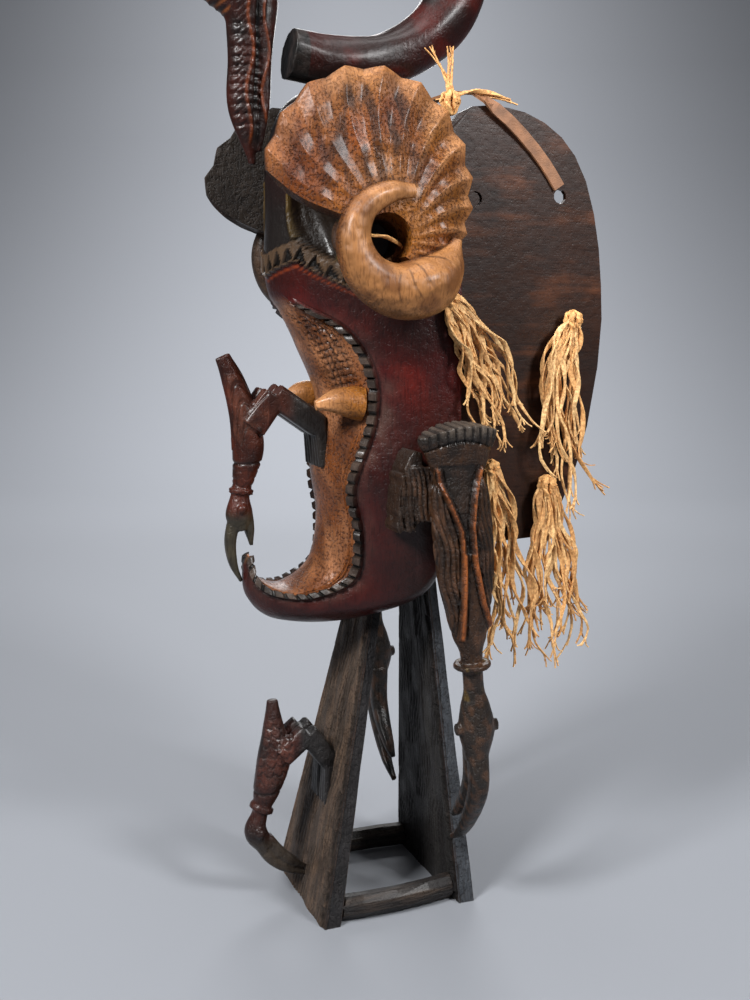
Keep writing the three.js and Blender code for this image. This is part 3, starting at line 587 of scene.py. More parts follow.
# Where the notched rim of the mouth runs: station and degrees round the section.
RIM = [
    [LIP, 8], [4.45, 35], [5, 46], [5.5, 48], [6.5, 42], [7.4, 34],
    [8.4, 42], [9.6, 53], [10.6, 62], [12, 70], [13, 74],
]


def rim_angle(s):
    stations, angles = np.array(RIM).T
    fine = np.linspace(LIP, 13, 400)
    even = np.interp(fine, stations, angles)
    even = np.convolve(np.pad(even, 12, mode="edge"), np.ones(25) / 25, mode="valid")
    above = BROW_ANGLE + (even[0] * RAD - BROW_ANGLE) * ease(s, LIP - 1.2, LIP)
    return np.where(s < LIP, above, np.interp(s, fine, even) * RAD)


def head_grid(rows=380):
    """Smooth skin of the helmet: corners, outward normals, station and angle, right half."""
    s = np.linspace(0, len(STATIONS) - 1, rows)
    values = along(STATIONS, s / (len(STATIONS) - 1))
    front, back, half = values[:, 0:2], values[:, 2:4], values[:, 4]
    full = np.minimum(values[:, 5], 1)[:, None]
    widest = front + (back - front) * full
    rim = rim_angle(s)
    band = np.minimum(np.minimum(7 / half, 0.8 * rim), 0.6 * (np.pi / 2 - rim))
    shares = [
        np.linspace(0, 1, 35)[:-1, None] * (rim - band),
        (rim - band) + np.linspace(0, 1, 19)[:-1, None] * 2 * band,
        (rim + band) + (np.linspace(0, 1, 51)[:-1, None] ** 1.25) * (np.pi / 2 - rim - band),
        np.pi / 2 + np.linspace(0, 1, 8)[:, None] * np.pi / 2 + 0 * rim,
    ]
    angle = np.vstack(shares).T
    ahead = angle <= np.pi / 2
    share = np.abs(np.cos(angle))
    towards = np.where(ahead[..., None], (front - widest)[:, None], (back - widest)[:, None])
    flat = widest[:, None] + towards * share[..., None]
    corners = np.dstack([half[:, None] * np.sin(angle), flat])
    normals = unit(np.cross(np.gradient(corners, axis=1), np.gradient(corners, axis=0)))
    for edge in (0, -1):
        normals[:, edge] = unit(normals[:, edge] * np.array([0, 1, 1]))
    middle = np.dstack([np.zeros_like(angle), widest[:, None] * np.ones_like(flat)])
    outward = np.sign(np.einsum("ijk,ijk->ij", normals, corners - middle))
    normals *= np.where(outward == 0, 1, outward)[..., None]
    normals[:, angle[0] > np.pi / 2 + 0.01] = np.array([0, 1, 0])
    return corners, normals, s[:, None] * np.ones_like(angle), angle, half[:, None], rim[:, None]


def eye_place(corners, angle):
    """Along and across the almond of the eye, in millimetres, on either side of the face."""
    back, up = (angle / RAD - 34) * 1.96, corners[..., 2] - 599
    return 0.475 * back - 0.88 * up, 0.88 * back + 0.475 * up


def band_height(reach):
    """Middle of the zigzag band: it peaks at the corner of the brow and falls to the ear."""
    return 561 + 12 * np.clip(reach / 26, 0, 1) - 24 * np.clip((reach - 26) / 24, 0, 2)


def head_relief(corners, s, angle, half, rim):
    """Height of the carving over the smooth skin, and the masks that the paint follows."""
    beside = (angle - rim) * half
    mouth = ease(s, LIP, LIP + 0.3)
    pitch = sizes().rim_tooth * 1000
    path = corners[np.arange(len(corners)), np.argmin(np.abs(angle - rim), axis=1)]
    steps = np.linalg.norm(np.diff(path, axis=0), axis=1)
    walked = np.concatenate([[0], np.cumsum(steps)])[:, None]
    inside = ease(-beside, 2.5, 6)
    ridge = np.clip((4.4 - np.abs(beside)) / 1.3, 0, 1) * mouth
    teeth = np.clip((np.abs((walked / pitch) % 1 - 0.5) * pitch - 0.9) / 0.9, 0, 1)
    rise = (sizes().rim_height * 1000 - RIM_FOOT) * (1 - 0.5 * ease(s, 9.6, 11))
    height = -FACE_SUNK * inside * mouth + ridge * (RIM_FOOT + rise * teeth)
    lines = (bumps(beside + 8.2, ONE_LINE, 2.4) + bumps(beside + 11.6, ONE_LINE, 2.2)) * mouth
    patch = ease(s, LIP + 0.25, LIP + 0.5) * (1 - ease(s, 6.0, 6.3))
    patch = patch * ease(-beside, 13, 16) * (1 - ease(-beside, 44, 48))
    hatch = np.maximum(bumps(beside, 6.6, 2.6), bumps(walked + 0.25 * beside, 6.6, 2.6)) * patch
    height = height + 1.3 * lines - 1.7 * hatch
    reach = np.abs(angle) / RAD
    up = corners[..., 2] - band_height(reach)
    saw = np.abs((angle * half / (sizes().band_tooth * 1000)) % 1 - 0.5) * 2
    band = (1 - ease(np.abs(up), 8.6, 9.9)) * (1 - ease(reach, 54, 56))
    inner = band * ((np.abs(up) < 7.0) & (up / 14.0 + 0.62 < saw))
    height = height + 3.2 * band - 2.6 * inner
    u, v = eye_place(corners, angle)
    almond = (u / 42) ** 2 + np.abs(v) / 20
    side_face = ease(reach, 6, 10) * (1 - ease(reach, 62, 66)) * ease(u, -60, -50)
    socket = (1 - ease(almond, 0.7, 0.98)) * side_face
    brow = np.clip(1.6 - np.abs(almond - 1.15) / 0.13, 0, 1) * side_face
    brow = brow * (0.7 + 0.3 * ease(v, -8, 6)) * ease(np.abs(up), 9, 12)
    height = height - 8 * socket - 5 * (1 - ease(almond, 0.1, 0.7)) * side_face + 5.0 * brow
    height = height * (1 - ease(angle, np.pi / 2 - 0.02, np.pi / 2))
    names = "mouth beside ridge teeth hatch band inner socket brow lines up inside".split()
    marks = [mouth, beside, ridge, teeth, hatch, band, inner, socket, brow, lines, up, inside * mouth]
    return height, dict(zip(names, marks))


def head_paint(corners, s, angle, marks):
    """The helmet's stain at each corner, with its speckle as the fourth value."""
    c = colours()
    flat = corners.reshape(-1, 3)
    mark = {key: np.broadcast_to(value, angle.shape).reshape(-1) for key, value in marks.items()}
    s, reach = s.reshape(-1), angle.reshape(-1) / RAD
    up, beside, mouth = mark["up"], mark["beside"], mark["mouth"]
    cloud, fine = flecks(flat, 60), flecks(flat, 17, 2)
    low = ease(-flat[:, 2], -470, -400) * ease(flat[:, 1], -20, 30)
    near_rim = (1 - ease(beside, 7, 20)) * ease(beside, 3, 5) * mouth
    wear = (1 - ease(beside, 8, 30)) * ease(beside, 6, 8) * ease(-s, -7.2, -6.4) * ease(s, 5.0, 5.8)
    cheek = layered(
        c.cheek_red,
        (c.brow_black, ease(up + 4 * cloud, -4, 6) * (1 - 0.75 * ease(reach, 62, 80))),
        ("#1c0907", 0.75 * flecks(flat, 95, 8) ** 2),
        ("#641c14", 0.45 * ease(flecks(flat, 47, 9), 0.55, 0.9) * (up < 0)),
        ("#240a07", 0.75 * ease(-flat[:, 2], -500, -400)),
        ("#240d0a", 0.8 * (1 - ease(-up, 18, 60)) * (up < 0)),
        (blend(c.cheek_red, linear("#4a3c36"), 0.7), near_rim * 0.55 * fine),
        ("#2c2019", 0.55 * low * cloud),
        ("#51413a", 0.45 * wear * fine),
    )
    face = layered(
        c.face_ochre,
        (c.face_pale, np.clip(1.3 * flecks(flat, 34, 5) - 0.35, 0, 1)),
        ("#3f2210", 0.5 * (1 - ease(beside, -16, -8) * 0.2) * flecks(flat, 22, 7)),
        ("#24130b", 0.85 * mark["hatch"]),
        ("#8a5024", 0.8 * np.clip(mark["lines"], 0, 1)),
    )
    rim_tone = blend(linear("#0f0c0a"), linear("#54473f"), mark["teeth"] * (0.15 + 0.6 * fine))
    band_tone = blend(linear("#4a3a2b"), linear("#0e0b09"), mark["inner"])
    tone = layered(
        cheek,
        (face, mark["inside"]),
        (rim_tone, ease(mark["ridge"], 0.25, 0.6)),
        ("#120c0a", 0.8 * np.clip(1 - np.abs(beside - 5.6) / 1.4, 0, 1) * mouth),
        (band_tone, ease(mark["band"], 0.3, 0.7)),
        ("#7d3517", 0.8 * np.clip(1 - np.abs(up + 13) / 1.6, 0, 1) * (1 - ease(reach, 55, 60))),
        ("#1a120b", ease(mark["socket"], 0.1, 0.7)),
        ("#5c4a24", 0.85 * mark["brow"]),
    )
    return np.column_stack([tone[:, :3], 0.25 + 0.75 * mark["inside"]])


def whole_rings(right):
    """Closed rings from the right half of each ring, mirrored over the middle plane."""
    left = right[:, -2:0:-1] * np.array([-1, 1, 1])
    return np.concatenate([right, left], axis=1)


def nearest_station(z):
    trial = np.arange(0, 9, 0.1)
    return trial[np.argmin(np.abs(along(STATIONS, trial / (len(STATIONS) - 1))[:, 1] - z))]


def hollow_room():
    """The room for the wearer's head, open at the back."""
    rings = []
    turn = np.linspace(-math.pi / 2, math.pi / 2, 31)
    for i in range(25):
        z = ROOM_LOW + (ROOM_HIGH - ROOM_LOW) * i / 24
        s = nearest_station(z)
        front = along(STATIONS, np.array([s / (len(STATIONS) - 1)]))[0, 0] + WALL
        close = math.sin(math.pi * (i / 4 + 0.6) / 7.2) ** 0.25
        deep = (HEAD_BACK - front) * np.clip(np.cos(turn), 0, 1) ** 0.85 * close
        arc = np.column_stack([ROOM_HALF * np.sin(turn), HEAD_BACK - deep, np.full(31, z)])
        rings.append(np.vstack([arc, [[ROOM_HALF, 84, z], [-ROOM_HALF, 84, z]]]))
    rings = np.array(rings)
    middle = rings[1:-1, :31, 1]
    rings[1:-1, :31, 1] = (rings[:-2, :31, 1] + 2 * middle + rings[2:, :31, 1]) / 4
    return loft(rings)


def tusk():
    path = [[52, -22, 442], [50, -45, 444], [48, -63, 441]]
    knife = lambda t, turn: 0.35 * np.sin(5 * turn + 6 * t)
    return limb(path, [14, 11, 4], [15, 11, 4], rings=30, around=32, relief=knife)


def make_head():
    corners, normals, s, angle, half, rim = head_grid()
    height, marks = head_relief(corners, s, angle, half, rim)
    tone = head_paint(corners, s, angle, marks).reshape(*angle.shape, 4)
    rings = whole_rings(corners + normals * height[..., None])
    tones = np.concatenate([tone, tone[:, -2:0:-1]], axis=1).reshape(-1, 4)
    head = new_piece("carved_head", [loft(rings)])
    cut(head, [hollow_room()])
    cut(head, [tusk(), mirrored(tusk())], "UNION")
    known = rings.reshape(-1, 3)
    tree = kdtree.KDTree(len(known))
    for k, point in enumerate(known):
        tree.insert(point, k)
    tree.balance()
    at = corners_of(head)
    found = [tree.find(point) for point in at]
    near = np.array([hit[2] for hit in found])
    values = tones[[hit[1] for hit in found]]
    c = colours()
    x, y, z = at.T
    bare = np.array([[*c.raw_wood[:3], 0.4]]) * (0.55 + 0.6 * flecks(at, 40)[:, None])
    values = np.where((near > 0.6)[:, None], bare, values)
    on_tusk = (np.hypot(np.abs(x) - 50, z - 442) < 17) & (y < -20) & (y > -75) & (near > 0.4)
    tusk_tone = blend([*c.ear_ochre[:3], 0.5], [*c.ear_wear_and_highlight[:3], 0.3], ease(-y, 30, 62))
    values = np.where(on_tusk[:, None], tusk_tone, values)
    paint(head, values, values[:, 3])
    return dressed(head, "polished_red_wood", ["head"], 40)


# The ears

EAR_X, EAR_SWELL, EAR_THICK, EAR_HOLE = 104.0, 20.0, 9.0, 17.0
EAR_CENTRE = np.array([-27.0, 580.0])
FAN_CENTRE = np.array([-34.0, 622.0])
FAN_HIGH, FAN_WIDE, SCALLOPS = 101.0, 92.0, 14
FAN_START, FAN_SWEEP = -44.0, 195.0


def fan_reach(angle):
    away = EAR_CENTRE - FAN_CENTRE
    c, s = np.cos(angle), np.sin(angle)
    a = (c / FAN_WIDE) ** 2 + (s / FAN_HIGH) ** 2
    b = 2 * (away[0] * c / FAN_WIDE**2 + away[1] * s / FAN_HIGH**2)
    k = (away[0] / FAN_WIDE) ** 2 + (away[1] / FAN_HIGH) ** 2 - 1
    return (-b + np.sqrt(b * b - 4 * a * k)) / (2 * a)


def ear_fan():
    """The fluted fan: hollow channels between sharp ribs that end in points."""
    turn = np.linspace(0, 1, SCALLOPS * 22 + 1)[:, None]
    outward, inward = np.linspace(0, 1, 46)[None, :], np.linspace(1, 0, 9)[None, :]
    ridge = 1 - np.abs((turn * SCALLOPS) % 1 - 0.5) * 2
    start = (FAN_START + FAN_SWEEP * turn) * RAD
    reach = fan_reach(start) - 4.2 * (1 - ridge**1.1) + 0.6

    def skin(x, share):
        angle = start + 0.1 * np.sin(np.pi * share)
        radius = EAR_HOLE + 4 + (reach - EAR_HOLE - 4) * share
        return np.dstack([x, EAR_CENTRE[0] + radius * np.cos(angle), EAR_CENTRE[1] + radius * np.sin(angle)])

    swell = EAR_SWELL * np.cos(outward * np.pi / 2) ** 0.8
    wave = 0.9 * np.sin(7 * np.pi * outward + 14 * turn) * np.sin(9 * turn + 5 * outward)
    rise = sizes().flute_depth * 1000 * (ridge**1.25 - 0.55) * ease(outward, 0.05, 0.95)
    top = skin(EAR_X + swell + (rise + wave * ease(outward, 0.2, 0.4)), outward)
    under = skin(EAR_X - EAR_THICK * (1.2 - 0.5 * inward) + 0 * turn, inward)
    return loft(np.concatenate([top, under], axis=1))


CURL = [[-4, 619], [-27, 617], [-49, 603], [-57, 578], [-46, 552], [-20, 538], [8, 543], [28, 559], [40, 580]]
CURL_THICK = [7, 10, 12, 14, 18, 23, 24, 16, 5]


def ear_curl():
    out = [EAR_X + 15 + 5 * math.sin(math.pi * i / 8) - 4 * max(i - 6, 0) for i in range(len(CURL))]
    path = [[x, y, z] for x, (y, z) in zip(out, CURL)]
    knife = lambda t, turn: 0.5 * np.sin(4 * turn + 9 * t) * (0.3 + t)
    return limb(path, CURL_THICK, CURL_THICK, rings=150, around=48, relief=knife)


def ear_root():
    """The short neck that joins the ear to the helmet, sheared to the helmet's skin."""
    turn = np.arange(40) / 40 * 2 * np.pi
    y, z = -22 + 30 * np.cos(turn), 585 + 30 * np.sin(turn)
    skin = 92 * np.sin(np.arccos(np.clip((54 - y) / 148, 0, 1)))
    start = np.column_stack([skin - 7, y, z])
    return loft([start, np.column_stack([np.full(40, EAR_X), y, z])])


def ear_tone(at):
    """The ear's stain, where its curl is, and how far out on the fan each corner lies."""
    c = colours()
    away = at[:, 1:] - EAR_CENTRE
    radius = np.linalg.norm(away, axis=1)
    angle = np.arctan2(away[:, 1], away[:, 0])
    turn = ((angle / RAD - FAN_START - 4) % 360) / FAN_SWEEP
    flute = np.abs((turn * SCALLOPS) % 1 - 0.5) * 2
    share = radius / np.maximum(fan_reach(angle), 1)
    raised = at[:, 0] - EAR_X
    face = ease(raised, -4, 1)
    # The fan's outer band, where it turns outward: painted highlight mixed with wear
    worn = ease(share, 0.78, 0.97) * (0.35 + 0.65 * flecks(at, 23, 1))
    channel = ease(flute, 0.5, 0.95) * ease(share, 0.3, 0.6) * (1 - ease(share, 0.9, 0.98))
    stains = ease(flecks(at * np.array([1, 1, 0.22]), 11, 6), 0.45, 0.7) * ease(away[:, 1], 25, 60)
    stains = stains * (1 - ease(share, 0.82, 0.95)) * (1 - 0.7 * ease(away[:, 0], 10, 40))
    steps = np.linspace(0, 1, 60)
    curl_line = route([[0, y, z] for y, z in CURL], steps)[:, 1:]
    gap = np.linalg.norm(at[:, None, 1:] - curl_line[None], axis=2) - along(CURL_THICK, steps)[None]
    gap = gap.min(axis=1)
    on_curl = (1 - ease(gap, -2.5, 0.5)) * ease(raised, 8, 13)
    rubbed = 0.25 + 0.5 * ease(at[:, 2], 575, 620) * flecks(at, 30, 4)
    cracks = 0
    for place in (-22, -50, -68, -87, -108):
        beside = (angle / RAD - place + 3 * np.sin(radius / 6 + place)) * RAD * radius
        crack = np.clip(1.3 - np.abs(beside), 0, 1) * ease(radius, 26, 30) * (1 - ease(radius, 48, 56))
        cracks = np.maximum(cracks, crack)
    tone = layered(
        c.ear_ochre,
        ("#6a3612", flecks(at, 45, 3)),
        # Painted highlight on the fan's outer band and along the ridge crests, mixed with wear
        (c.ear_wear_and_highlight, 0.75 * worn * face),
        (c.ear_wear_and_highlight, 0.6 * ease(-flute, -0.45, -0.1) * ease(away[:, 0], 10, 50) * face),
        # Painted shade down the channels between the ridges
        ("#5a300f", 0.3 * channel),
        ("#2a170b", 0.75 * stains * face),
        ("#5e2c12", 0.6 * ease(-away[:, 0], 35, 65)),
        ("#2b211b", 0.85 * (1 - face)),
        (blend(linear("#85592f"), c.ear_wear_and_highlight, rubbed), on_curl),
        ("#3a2012", 0.6 * np.clip(1 - np.abs(gap) / 2.2, 0, 1) * ease(raised, 4, 8)),
        ("#2e180d", 0.7 * cracks),
        ("#5b3318", 0.55 * ease(flecks(at, 21, 8), 0.5, 0.85) * on_curl),
        # Painted shade: the wall of the ear's hole is near-black
        ("#0d0a08", 1 - ease(radius, EAR_HOLE - 1, EAR_HOLE + 1.2)),
    )
    return tone, on_curl, share


def make_ear(side):
    """side is 1 for the mask's left ear and -1 for its right, which is darkened near-black."""
    name, flip = on_side(side)
    ear = new_piece(name + "_carved_ear", [flip(ear_fan())])
    cut(ear, [flip(ear_curl())], "UNION")
    cut(ear, [flip(ear_root())], "UNION")
    ends = [[60, *EAR_CENTRE], [160, *EAR_CENTRE]]
    cut(ear, [flip(limb(ends, EAR_HOLE, EAR_HOLE, side=(0, 1, 0), rings=2, around=48))])
    tone, on_curl, share = ear_tone(corners_of(ear) * np.array([side, 1, 1]))
    if side < 0:
        tone = layered(tone, ("#2a2724", 0.86))
    paint(ear, tone, np.clip(0.9 * (1 - on_curl) * (1 - 0.6 * ease(share, 0.8, 1)), 0, 1))
    return dressed(ear, "ochre_carved_wood", [name + "_ear"], 50)


# The crest

CREST_CENTRE = np.array([-13.0, 861.0])
CREST_RADIUS = 113.0


def on_crest(angle):
    return CREST_CENTRE + CREST_RADIUS * np.array([math.cos(angle * RAD), math.sin(angle * RAD)])


def centred(line, wide, deep, rings, around, relief=None):
    """A limb in the mask's middle plane, drawn by its Y and Z."""
    return limb([[0, y, z] for y, z in line], wide, deep, rings=rings, around=around, relief=relief)


def make_crest():
    sweep = [on_crest(angle) for angle in range(-90, 166, 15)]
    horn_line = [[-72, 751], [-42, 747], *sweep, [-121, 850]]
    skull_line = [[-124, 880], [-122, 845], [-114, 805], [-108, 775]]
    upper_line = [[-110, 800], [-112, 745], [-113, 700], [-105, 650]]
    lower_line = [[-96, 795], [-95, 745], [-95, 700], [-100, 662]]
    casque_line = [[-128, 852], [-143, 832], [-141, 806], [-126, 784]]
    knife = lambda t, turn: 0.45 * np.sin(5 * turn + 30 * t) + 0.35 * np.sin(3 * turn - 47 * t)
    notch = lambda t, turn: -1.6 * bumps(t * 152, 9.0, 4.0) * (np.cos(turn) > 0.35) * (t < 0.8)
    stripe = lambda t, turn: 1.1 * bumps(t * 95, 8.0, 4.5)
    parts = [
        centred(horn_line, [23, 26, 28, 23, 19, 17], [23, 25, 29, 23, 21, 23], 240, 56, knife),
        centred(skull_line, [14, 24, 23, 17], [14, 26, 25, 20], 60, 48),
        centred(upper_line, [17, 15, 12, 3], [20, 15, 14, 3], 120, 40, notch),
        centred(lower_line, [15, 12, 9, 3], [14, 7, 5, 3], 90, 32),
        centred(casque_line, [14, 15, 14, 9], [12, 15, 15, 7], 90, 40, stripe),
    ]
    parts += [rod([9 * k, -118, 822], [26 * k, -118, 822], 6, 24) for k in (-1, 1)]
    crest = fused("carved_crest", parts, 1.35, 1)
    raise_skin(crest, crest_relief)
    at = corners_of(crest)
    _, y, z = at.T
    slots, ribs = beak_marks(at)
    beak = ease(-y, 84, 90) * (z < 815)
    on_casque = (y < -128) & (z > 778) & (z < 862)
    tone = layered(
        linear("#300f0c"),
        ("#1c1210", 0.85 * flecks(at, 50, 2)),
        ("#5a1a12", 0.4 * ease(flecks(at, 37, 5), 0.6, 0.9)),
        (layered(linear("#0f0d0c"), ("#2a2422", flecks(at, 9, 1))), (y < -58) & (z < 785)),
        (layered(linear("#1a0f0d"), ("#34140d", flecks(at, 20))), beak),
        ("#6d3417", 0.8 * ribs * beak),
        ("#080605", 0.9 * slots * beak),
        ("#7a4520", 0.7 * bumps(z * 0.8 - y * 0.6, 8.0, 4.0) * on_casque),
    )
    paint(crest, tone, 0.3)
    return dressed(crest, "polished_red_wood", ["crest"])


def beak_marks(at):
    """Slots and raised ribs along the crest bird's beak."""
    x, y, z = at.T
    on_flank = ease(np.abs(x), 5, 8) * (z < 806) * (z > 662)
    wave = 3.0 * np.sin((800 - z) / 11)
    slots = bumps(y + 104 + 0.3 * wave, ONE_LINE, 5.5) * on_flank
    ribs = np.maximum(bumps(y + 111 + wave, ONE_LINE, 4.0), bumps(y + 96 + wave, ONE_LINE, 3.5))
    return slots, ribs * on_flank


def crest_relief(at):
    x, y, z = at.T
    slots, ribs = beak_marks(at)
    down = 800 - z
    hatched = (np.abs(y + 118) < 5) & (down > 5) & (down < 130)
    hatching = bumps(down + y, 7.0, 2.8) * hatched * ease(np.abs(x), 4, 7)
    return 1.4 * ribs - 2.6 * slots - hatching


# The hornbills


def upright(side, forward, up):
    return [side, forward, up]


def bird_middle(up):
    """Where the middle line of a side bird lies along Y at this height."""
    return 58 - 20 * np.maximum((up - 172) / 256, 0)


def beside_head(side, inward, up):
    return [112 - inward, bird_middle(up) + side, up]


def hornbill(back, wide, deep, mandibles, thick, place, eye_at, eye_out, eye_radius, neck, rings=70):
    """A hornbill drawn in its own middle plane: forward, towards what it holds, and up."""
    start = np.array(place(0, 0, 200))
    side = np.array(place(1, 0, 200)) - start
    line = lambda points: [place(0, *point) for point in points]
    parts = [limb(line(back), wide, deep, side=side, rings=rings, around=36)]
    taper = np.array([thick, thick * 0.8, thick * 0.3])
    for points in mandibles:
        parts.append(limb(line(points), taper, taper * 0.85, side=side, rings=40, around=20, box=0.35))
    for sign in (-1, 1):
        root = place(sign * eye_out * 0.3, *eye_at)
        parts.append(rod(root, place(sign * eye_out, *eye_at), eye_radius, 20))
        parts.append(rod(root, place(sign * (eye_out + 1), *eye_at), eye_radius * 0.5, 16))
    parts.append(rod(*line(neck), eye_out * 0.84, 28))
    return parts


def legs(hip, knee, ankle, toe, apart, thick, place):
    parts = []
    for sign in (-1, 1):
        x = sign * apart / 2
        at = lambda point: place(x, *point)
        parts.append(limb([at(hip), at(knee)], thick, thick * 1.3, rings=12, around=20, box=0.4))
        parts.append(limb([at(knee), at(ankle)], thick, thick * 1.2, rings=12, around=20, box=0.5))
        for spread in (-1, 0, 1):
            offset = spread * thick * 0.85
            start = place(x + offset * 0.7, ankle[0], ankle[1] + thick * 0.6)
            end = place(x + offset, *toe)
            parts.append(limb([start, end], thick * 0.36, thick * 0.62, rings=14, around=14, box=0.4))
    return parts


def feather_grooves(u, v):
    """Overlapping feather tips drawn by curved cuts: rows across u, tips along v."""
    row = u / 8.0
    shift = (np.floor(row) % 2) * 0.5
    tip = np.abs(((v / 9.0 + shift) % 1) - 0.5) * 2
    edge = (row % 1) - 0.55 * tip**2
    return np.clip(1 - np.abs(edge - 0.25) / 0.2, 0, 1)


def make_mouth_bird():
    parts = hornbill(
        back=[
            [-132, 482], [-123, 462], [-113, 430], [-109, 402],
            [-113, 376], [-116, 362], [-117, 344], [-116, 330],
        ],
        wide=[4, 9, 14, 15, 11, 8, 11, 7],
        deep=[6, 9, 12, 14, 10, 8, 12, 8],
        mandibles=[
            [[-121, 342], [-125, 320], [-122, 300], [-115, 285]],
            [[-111, 346], [-108, 330], [-106, 316]],
        ],
        thick=6.5,
        place=upright,
        eye_at=[-117, 350],
        eye_out=13,
        eye_radius=4,
        neck=[[-115, 366], [-115.5, 362]],
    )
    parts += legs([-108, 420], [-88, 448], [-48, 420], [-44, 384], 21, 9, upright)
    bird = fused("mouth_bird", parts, 1.15, 2)

    def marks(at):
        x, y, z = at.T
        wing = ease(z, 402, 410) * (1 - ease(z, 462, 470)) * (y < -96) * ease(np.abs(x), 3, 5)
        scales = bumps(np.abs(x) - 0.16 * (z - 400), 5.2, 2.0) * wing
        return wing, scales, bumps(z - 389, ONE_LINE, 3.4) * (y < -95)

    def carving(at):
        x, y, z = at.T
        _, scales, ring = marks(at)
        shaft = bumps(np.abs(x) - 1.0, ONE_LINE, 3.0) * (z > 400) * (y < -100)
        crown = feather_grooves(z * 1.2, y) * (z < 384) * (z > 358) * (y < -96)
        return -1.2 * scales - 1.3 * ring + 0.9 * shaft - 0.8 * crown

    raise_skin(bird, carving)
    at = corners_of(bird)
    _, y, z = at.T
    wing, scales, ring = marks(at)
    c = colours()
    tone = layered(
        c.bird_red,
        ("#28110b", flecks(at, 26)),
        ("#7a4a38", 0.45 * flecks(at, 15, 3) * wing),
        ("#150a07", 0.75 * np.clip(scales + ring, 0, 1)),
        (layered(c.beak_olive, ("#2d2a24", flecks(at, 12, 2))), ease(-z, -352, -338) * (y < -90)),
        (layered(linear("#43231a"), ("#2a2726", ease(y, -84, -68))), ease(y, -98, -86)),
        ("#24211f", 0.7 * ease(y, -60, -52) * ease(-z, -420, -408)),
    )
    paint(bird, tone, 0.35)
    return dressed(bird, "polished_red_wood", ["mouth_hornbill"])


def make_board_bird():
    parts = hornbill(
        back=[[-87, 178], [-86, 156], [-85, 128], [-92, 100], [-98, 80], [-102, 64], [-93, 50]],
        wide=[4, 9, 14, 13, 8, 11, 8],
        deep=[5, 9, 15, 12, 7, 10, 8],
        mandibles=[
            [[-98, 52], [-88, 38], [-72, 26], [-56, 19]],
            [[-92, 56], [-80, 42], [-66, 31], [-56, 25]],
        ],
        thick=6.5,
        place=upright,
        eye_at=[-101, 66],
        eye_out=13,
        eye_radius=4,
        neck=[[-96, 86], [-97.5, 82]],
    )
    parts += legs([-82, 130], [-58, 148], [-38, 122], [-40, 84], 21, 7.5, upright)
    bird = fused("board_bird", parts, 1.15, 2)

    def marks(at):
        x, y, z = at.T
        wing = ease(z, 104, 110) * (1 - ease(z, 160, 166)) * (y < -72) * ease(np.abs(x), 3, 5)
        ring = bumps(z - 99, ONE_LINE, 3.4) * (y < -76)
        return feather_grooves(z, y + 0.3 * z) * wing, ring, wing

    raise_skin(bird, lambda at: -1.2 * marks(at)[0] - 1.2 * marks(at)[1])
    at = corners_of(bird)
    _, y, z = at.T
    scales, ring, wing = marks(at)
    tone = layered(
        linear("#3a1b14"),
        ("#1d110e", flecks(at, 22)),
        ("#6b4034", 0.35 * flecks(at, 13, 3) * wing),
        ("#1b1210", 0.75 * np.clip(scales + ring, 0, 1)),
        ("#3a332c", ease(-z, -62, -52) * (y < -50)),
        (colours().board_dark, ease(y, -72, -62) * (z > 60)),
    )
    paint(bird, tone, 0.3)
    return dressed(bird, "handled_brown_wood", ["board_hornbill"])


def side_bird_marks(at, side):
    """Where the wing's edges, its cuts, the fold of the tail and the back between the wings are."""
    x, y, z = at.T
    off = y - bird_middle(z)
    out = ease(side * x, 112, 116)
    body = ease(z, 246, 250) * (1 - ease(z, 388, 394))
    front = np.interp(z, [248, 289, 320, 339, 358, 377, 392], [-11, -7, -5.2, -5.6, -12, -19, -22])
    rear = np.interp(z, [255, 278, 312, 343, 365, 392], [18, 10, 4.6, 4.2, 8, 17])
    edge = np.maximum(bumps(off - front, ONE_LINE, 5.4), bumps(off - rear, ONE_LINE, 5.4)) * body * out
    beside = np.minimum(np.abs(off - front), np.abs(off - rear))
    # The groove beside each wing edge: cut in, and darkened as painted shade
    shaded_groove = np.clip(1.4 - np.abs(beside - 3.8) / 0.8, 0, 1) * body * out
    outside = np.clip(ease(front - off, 2.2, 3.4) + ease(off - rear, 2.2, 3.4), 0, 1) * body
    grain = bumps(off + 1.6 * np.sin(z / 9) + 0.1 * z, 4.6, 2.4) * outside
    fold = bumps(z - 414 + 0.006 * off**2, ONE_LINE, 3.2) * (np.abs(off) < 40) * out
    between_wings = (off > front) & (off < rear) & (z > 320) & (z < 394)
    flutes = bumps(off * (1 - 0.004 * (z - 418)), 7.4, 3.2) * ease(z, 409, 413) * (np.abs(off) < 42)
    return edge, grain + flutes + shaded_groove, fold, between_wings * out


def side_bird_tone(at, side):
    x, y, z = at.T
    edge, grain, fold, between_wings = side_bird_marks(at, side)
    crown_end = ease(z, 414, 424) * 0.8 * (1 - np.clip(grain, 0, 1))
    inner_wing = (y < 12) * (z > 330) * (z < 412) * (side * x < 108)
    return layered(
        colours().bird_brown,
        ("#21150c", flecks(at * np.array([1, 1, 0.3]), 14)),
        ("#6b4a35", 0.35 * ease(flecks(at, 19, 6), 0.5, 0.9) * (z > 245) * (z < 390)),
        ("#8f5024", 0.9 * edge),
        # Painted shade in the grooves beside the wing's edges; the grain cuts, tail flutes and fold are
        # darkened with them
        ("#0f0a07", 0.7 * np.clip(grain + fold, 0, 1)),
        ("#191411", 0.8 * between_wings),
        (layered(linear("#1b1613"), ("#5d554d", crown_end)), ease(z, 408, 416)),
        ("#241d18", ease(-z, -232, -205)),
        ("#1a1715", ease(-z, -150, -110)),
        ("#503726", 0.5 * ease(flecks(at, 9, 11), 0.45, 0.8) * (z < 246)),
        ("#5f4c22", 0.6 * ease(flecks(at, 11, 4), 0.78, 0.92) * (z < 236) * (z > 196)),
        ("#2b1f17", 0.8 * inner_wing),
    )


